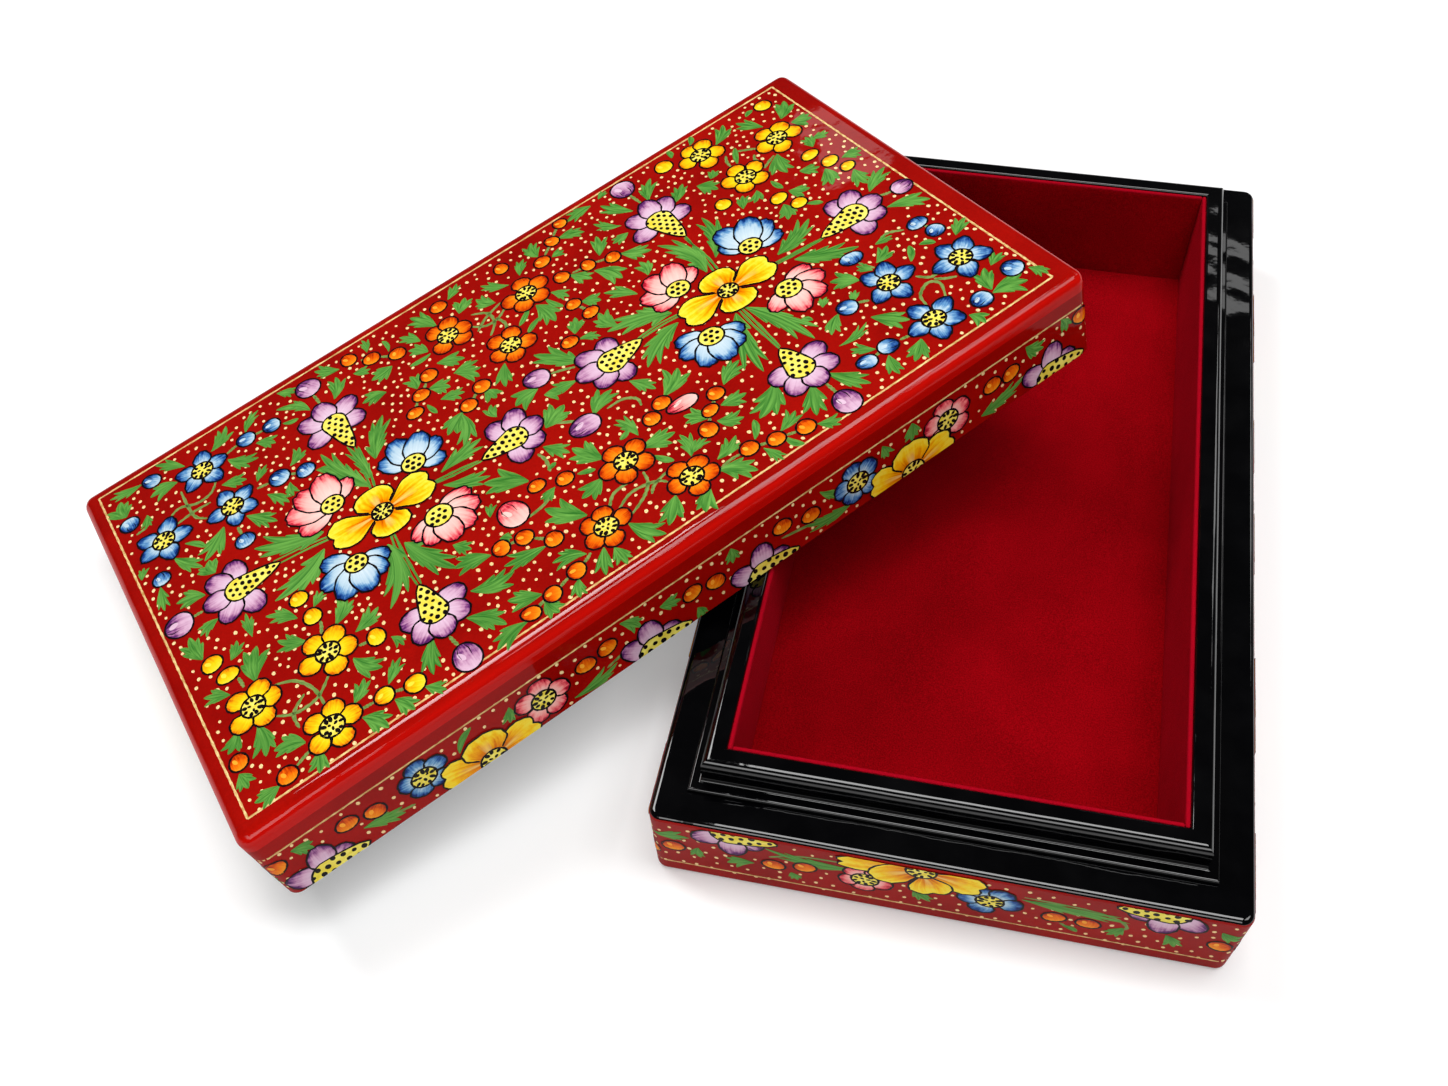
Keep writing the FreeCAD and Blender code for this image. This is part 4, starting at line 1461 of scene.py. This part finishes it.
def paintBand(panel, band, edge, up, lineHeight, dotRange, half, stretch):
    def rise(z):
        return edge + up * z * stretch

    def turned(angle):
        return angle if up > 0 else -angle

    ruleLine(panel, hairlines["wallWidth"], (-half, lineHeight), (half, lineHeight))
    for points in band["stems"]:
        paintStem(panel, [(x, rise(z)) for x, z in points], bandMarks["stemWidth"])
    for x0, z0, x1, z1, width in band["leaves"]:
        paintLeaf(panel, x0, rise(z0), x1, rise(z1), width)
    for x, z in band["buds"]:
        paintBud(panel, "orange", x, rise(z), *bandMarks["bud"])
    for kind, x, z, reach, turns in band["flowers"]:
        paintFlower(panel, kind, x, rise(z), reach, [turned(a) for a in turns], bandMarks["flowerEye"],
                    "broad", reach * bandMarks["flowerWidth"])
    for x, z, way in band["halfThistles"]:
        paintHalfThistle(panel, x, z, way, rise, turned)
    for x, z, petals in band["halfGolds"]:
        paintGold(panel, x, rise(z), [(turned(turn), *rest) for turn, *rest in petals], bandMarks["goldEye"])
    sprinkleDots(panel, (-half, half), dotRange, dots["wallTries"], dots["wallGap"])
    finishPanel(panel)


def paintWalls():
    for side in ("right", "left", "front", "back"):
        band, half = (longBand, halfLength) if side in longSides else (shortBand, halfWidth)
        half -= layout["bandEnd"]
        paintBand(lidWallPanel(side), band, 0.0, 1, hairlines["lidWall"], dots["lidWallZ"], half,
                  band["lidStretch"])
        paintBand(trayWallPanel(side), band, layout["trayBandTop"], -1, hairlines["trayWall"],
                  dots["trayWallZ"], half, band["trayStretch"])
    print("side bands painted")


paintLidTop()
paintWalls()

pieceNames = {"leaf": "leaves", "stem": "stems", "ink": "outlines", "eye": "flower_eyes", "dot": "cream_dots",
              "goldLine": "gold_lines"}
for (body, coat), pot in pots.items():
    name = body + "_" + pieceNames.get(coat, coat + "_petals")
    piece = newPiece(name, pot, paints[coat])
    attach(piece, body)
    print(name, len(piece.data.polygons), "faces")


# Velvet lining: soft-edged pads over card, with a brushed nap; pad sizes in millimetres
velvet = {
    "deep": (0.36, (112, 0, 5)),
    "mid": (0.51, (140, 0, 9)),
    "raised": (0.66, (166, 3, 16)),
    "pile": (2600.0, 2.0, 0.7),
    "pileShare": 0.7,
    "brushed": (34.0, 4.0, 0.6),
    "brushedShare": 0.3,
    # painted sheen: the lighter band along the lining's top edge
    "edgeSheen": (178, 8, 36),
    "edgeSheenShare": 0.48,
    "edgeSheenWander": 0.0012,
    "edgeSheenDepth": (0.0011, 0.0003),
    "sheen": (235, 20, 50),
    "sheenWeight": 0.4,
    "sheenRoughness": 0.35,
    "roughness": 0.95,
    "specular": 0.03,
    "napStrength": 0.7,
    "napDepth": 0.0004,
    "edge": 0.5,
    "floorEdge": 0.12,
    "rollShare": 0.48,
    "rollSteps": 4,
    "wallSpacing": 2.4,
    "floorSpacing": 1.6,
    "puff": 0.16,
    "puffFrom": 0.1,
    "endPower": 8,
    "rippleShare": 0.3,
    "rippleRuns": (0.11, 1.3, 0.16, 0.05),
    "flatBack": 0.5,
    "clearance": 0.06,
    "backGap": 0.02,
    "wallFill": 1.0,
    "floorFill": 0.95,
    "rumple": 0.07,
    "rumpleRuns": (0.13, 0.05, 0.09, 0.04),
    "tuck": 0.5,
    "tuckReach": 1.2,
    "floorDrop": 0.1,
    "floorBack": 0.6,
}


def velvetFinish():
    finish, tree, skin, place = newFinish("crimson_velvet")
    pile = noise(tree, place, *velvet["pile"])
    brushed = noise(tree, place, *velvet["brushed"])
    mixed = plus(tree, times(tree, pile, velvet["pileShare"]), times(tree, brushed, velvet["brushedShare"]))
    shades = [velvet[name] for name in ("deep", "mid", "raised")]
    colour = ramp(tree, mixed, [(stop, tone(*shade)) for stop, shade in shades])
    # painted sheen: a lighter pink band painted along the top edge, where the pile catches the light
    height = plus(tree, split(tree, place)["Z"], offMiddle(tree, pile, velvet["edgeSheenWander"]))
    top = box["liningTop"] * mm
    near, full = velvet["edgeSheenDepth"]
    edgeSheen = times(tree, step(tree, height, top - near, top - full), velvet["edgeSheenShare"])
    colour = blendColours(tree, edgeSheen, colour, tone(*velvet["edgeSheen"]))
    join(tree, colour, skin.inputs["Base Color"])
    fix(skin, {
        "Roughness": velvet["roughness"],
        "Specular IOR Level": velvet["specular"],
        "Sheen Weight": velvet["sheenWeight"],
        "Sheen Roughness": velvet["sheenRoughness"],
        "Sheen Tint": tone(*velvet["sheen"]),
    })
    join(tree, bumpFrom(tree, pile, velvet["napStrength"], velvet["napDepth"]), skin.inputs["Normal"])
    return finish


velvetCloth = velvetFinish()


def stops(low, high, edge, spacing):
    # even steps with close ones where the edge rolls over
    inner = max(int((high - low - 2 * edge) / spacing), 2)
    count = velvet["rollSteps"]
    roll = [edge * (1 - math.cos(math.pi / 2 * k / count)) for k in range(count + 1)]
    flat = [low + edge + (high - low - 2 * edge) * k / inner for k in range(1, inner)]
    return [low + r for r in roll] + flat + [high - r for r in reversed(roll)]


def softPad(name, low, high, edge, spacing, wave):
    # a closed pad: a box of points whose edges roll over, then swelled by the fabric's own waves
    rims = [min(edge, (high[d] - low[d]) * velvet["rollShare"]) for d in range(3)]
    lists = [stops(low[d], high[d], rims[d], spacing) for d in range(3)]
    mesh = bmesh.new()
    kept = {}

    def spot(i, j, k):
        if (i, j, k) not in kept:
            p = Vector((lists[0][i], lists[1][j], lists[2][k]))
            core = Vector([min(max(p[d], low[d] + rims[d]), high[d] - rims[d]) for d in range(3)])
            out = p - core
            if out.length > 1e-9:
                p = core + out.normalized() * min(rims)
            kept[(i, j, k)] = mesh.verts.new(wave(p) * mm)
        return kept[(i, j, k)]

    sizes = [len(s) - 1 for s in lists]
    for d in range(3):
        a, b = [e for e in range(3) if e != d]
        for end in (0, sizes[d]):
            for i in range(sizes[a]):
                for j in range(sizes[b]):
                    ring = []
                    for di, dj in ((0, 0), (1, 0), (1, 1), (0, 1)):
                        spotIndex = [0, 0, 0]
                        spotIndex[d], spotIndex[a], spotIndex[b] = end, i + di, j + dj
                        ring.append(spot(*spotIndex))
                    mesh.faces.new(ring)
    bmesh.ops.recalc_face_normals(mesh, faces=mesh.faces)
    for face in mesh.faces:
        face.smooth = True
    return newPiece(name, mesh, velvetCloth)


def lay(piece, node):
    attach(piece, "tray")
    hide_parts(node)


def makeLiningPad(side):
    low, high = box["bottom"] + velvet["backGap"], box["liningTop"]
    inner = box["lining"]
    lengthwise = side in longSides
    way = 1 if side in ("right", "back") else -1
    out = insideX if lengthwise else insideY
    run = (insideY if lengthwise else insideX - inner) - velvet["clearance"]
    near, far = sorted((way * (out - inner), way * (out - velvet["backGap"])))
    corners = ((near, -run, low), (far, run, high)) if lengthwise else ((-run, near, low), (run, far, high))

    def wave(p):
        along, across = (p.y, p.x) if lengthwise else (p.x, p.y)
        if across * way >= out - velvet["flatBack"]:
            return p  # the back stays flat on the collar
        height = (p.z - low) / (high - low)
        share = min(max((height - velvet["puffFrom"]) / (1 - velvet["puffFrom"]), 0.0), 1.0)
        swell = math.sin(math.pi * share) * (1 - (along / run) ** velvet["endPower"])
        a, b, c, d = velvet["rippleRuns"]
        ripple = math.sin(along * a + b * way) * math.sin(p.z * c + along * d)
        ripple = 1 - velvet["rippleShare"] + velvet["rippleShare"] * ripple
        push = -way * (velvet["puff"] * swell * ripple)
        return p + (Vector((push, 0, 0)) if lengthwise else Vector((0, push, 0)))

    pad = softPad("velvet_lining_pad_" + side, *corners, velvet["edge"], velvet["wallSpacing"], wave)
    lay(pad, "velvet_lining_" + side)


def makeFloorPad():
    x = insideX - box["lining"] - velvet["clearance"]
    y = insideY - box["lining"] - velvet["clearance"]

    def wave(p):
        if p.z < box["bottom"] + velvet["floorBack"]:
            return p
        inset = max(min(x - abs(p.x), y - abs(p.y)), 0.0)
        a, b, c, d = velvet["rumpleRuns"]
        rumple = velvet["rumple"] * math.sin(p.x * a + p.y * b) * math.sin(p.y * c - p.x * d)
        tucked = velvet["tuck"] * math.exp(-inset / velvet["tuckReach"])  # the cloth turns up at the walls
        return p + Vector((0, 0, tucked + rumple - velvet["floorDrop"]))

    low, high = (-x, -y, box["bottom"] + velvet["backGap"]), (x, y, box["floorTop"])
    pad = softPad("velvet_floor_pad", low, high, velvet["floorEdge"], velvet["floorSpacing"], wave)
    lay(pad, "velvet_floor")


for side in ("left", "right", "front", "back"):
    makeLiningPad(side)
makeFloorPad()
print("velvet laid")


# The frame's own pieces get their lacquer
trayRed = trayWallFinish()
lidTopRed = lidFinish("lid_top_lacquer", True)
lidSideRed = lidFinish("lid_side_lacquer", False)
plainBlack = blackFinish()
lacquered = [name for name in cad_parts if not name.startswith("velvet")]
for name in lacquered:
    finish = plainBlack
    if name.startswith("tray_wall"):
        finish = trayRed
    elif name.startswith("lid"):
        finish = lidTopRed if name == "lid_top" else lidSideRed
    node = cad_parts[name]
    node.data.materials.clear()
    node.data.materials.append(finish)
print("lacquer on", len(lacquered), "pieces")


# Floor, lamps and camera. Each lamp: name, place, aim, width, height and watts
studio = {
    "floorSize": 4.0,
    "floorDrop": 0.0003,
    "floorColour": (232, 232, 232),
    "floorGlow": 0.22,
    "worldColour": (1.0, 1.0, 1.0, 1.0),
    "worldStrength": 0.03,
    "lamps": [
        ("overhead_softbox", (0.08, -0.02, 1.3), (0.0, -0.02, 0.0), 0.5, 0.6, 8.9),
        ("back_left_softbox", (-0.7, 0.3, 1.12), (0.0, 0.0, 0.0), 0.45, 0.5, 8.0),
        ("front_strip", (0.03, -1.0, 0.8), (0.03, -0.1, 0.03), 0.6, 0.45, 4.2),
        ("right_softbox", (0.62, 0.02, 1.15), (-0.03, 0.0, 0.0), 0.5, 0.35, 3.2),
        ("front_fill", (-0.3, -1.0, 0.9), (0.0, 0.0, 0.0), 0.5, 0.4, 0.5),
        ("right_back_strip", (0.9, 0.95, 0.85), (0.06, 0.0, 0.03), 0.25, 0.5, 1.4),
        ("ledge_glow", (0.29, 1.193, 1.022), (0.066, 0.09, 0.03), 0.14, 0.05, 0.045),
        ("back_softbox", (-0.613, 1.335, 0.913), (-0.06, 0.05, 0.03), 0.1, 0.1, 0.03),
    ],
}


def floorFinish():
    # white to the camera and in reflections, and it keeps the shadow
    finish, tree, output = newTree("white_floor")
    skin = add(tree, "BsdfDiffuse")
    skin.inputs["Color"].default_value = tone(*studio["floorColour"])
    glow = add(tree, "Emission")
    path = add(tree, "LightPath")
    seen = maths(tree, "MAXIMUM", path.outputs["Is Camera Ray"], path.outputs["Is Glossy Ray"])
    seen = maths(tree, "MAXIMUM", seen, path.outputs["Is Transmission Ray"])
    join(tree, times(tree, seen, studio["floorGlow"]), glow.inputs["Strength"])
    both = add(tree, "AddShader")
    join(tree, skin.outputs[0], both.inputs[0])
    join(tree, glow.outputs[0], both.inputs[1])
    join(tree, both.outputs[0], output.inputs["Surface"])
    return finish


def makeStudio():
    half = studio["floorSize"] / 2
    mesh = bpy.data.meshes.new("studio_floor")
    corners = [(-half, -half, 0), (half, -half, 0), (half, half, 0), (-half, half, 0)]
    mesh.from_pydata(corners, [], [(0, 1, 2, 3)])
    mesh.materials.append(floorFinish())
    floor = newObject("studio_floor", mesh)
    floor.location.z = -studio["floorDrop"]
    world = bpy.data.worlds.new("studio")
    world.use_nodes = True
    sky = {"Color": studio["worldColour"], "Strength": studio["worldStrength"]}
    fix(world.node_tree.nodes["Background"], sky)
    bpy.context.scene.world = world
    for name, spot, aim, wide, high, power in studio["lamps"]:
        lamp = bpy.data.lights.new(name, "AREA")
        lamp.shape = "RECTANGLE"
        lamp.size = wide
        lamp.size_y = high
        lamp.energy = power
        holder = newObject(name, lamp)
        holder.location = spot
        holder.rotation_euler = (Vector(aim) - Vector(spot)).to_track_quat("-Z", "Y").to_euler()


view = {
    "lens": 35.29,
    "sensor": 36.0,
    "nearest": 0.01,
    "place": (-8.570, -267.199, 347.929),
    "forward": (-0.15709, 0.56705, -0.80856),
    "up": (-0.14454, 0.79671, 0.58682),
}


def makeCamera():
    data = bpy.data.cameras.new("camera")
    data.sensor_fit = "HORIZONTAL"
    data.sensor_width = view["sensor"]
    data.lens = view["lens"]
    data.clip_start = view["nearest"]
    forward = Vector(view["forward"]).normalized()
    right = forward.cross(Vector(view["up"])).normalized()
    up = right.cross(forward)
    holder = newObject("camera", data)
    rows = Matrix((right, up, -forward)).transposed().to_4x4()
    holder.matrix_world = Matrix.Translation(Vector(view["place"]) * mm) @ rows
    bpy.context.scene.camera = holder


makeStudio()
makeCamera()
bpy.context.scene.view_settings.view_transform = "Standard"
print("studio set")
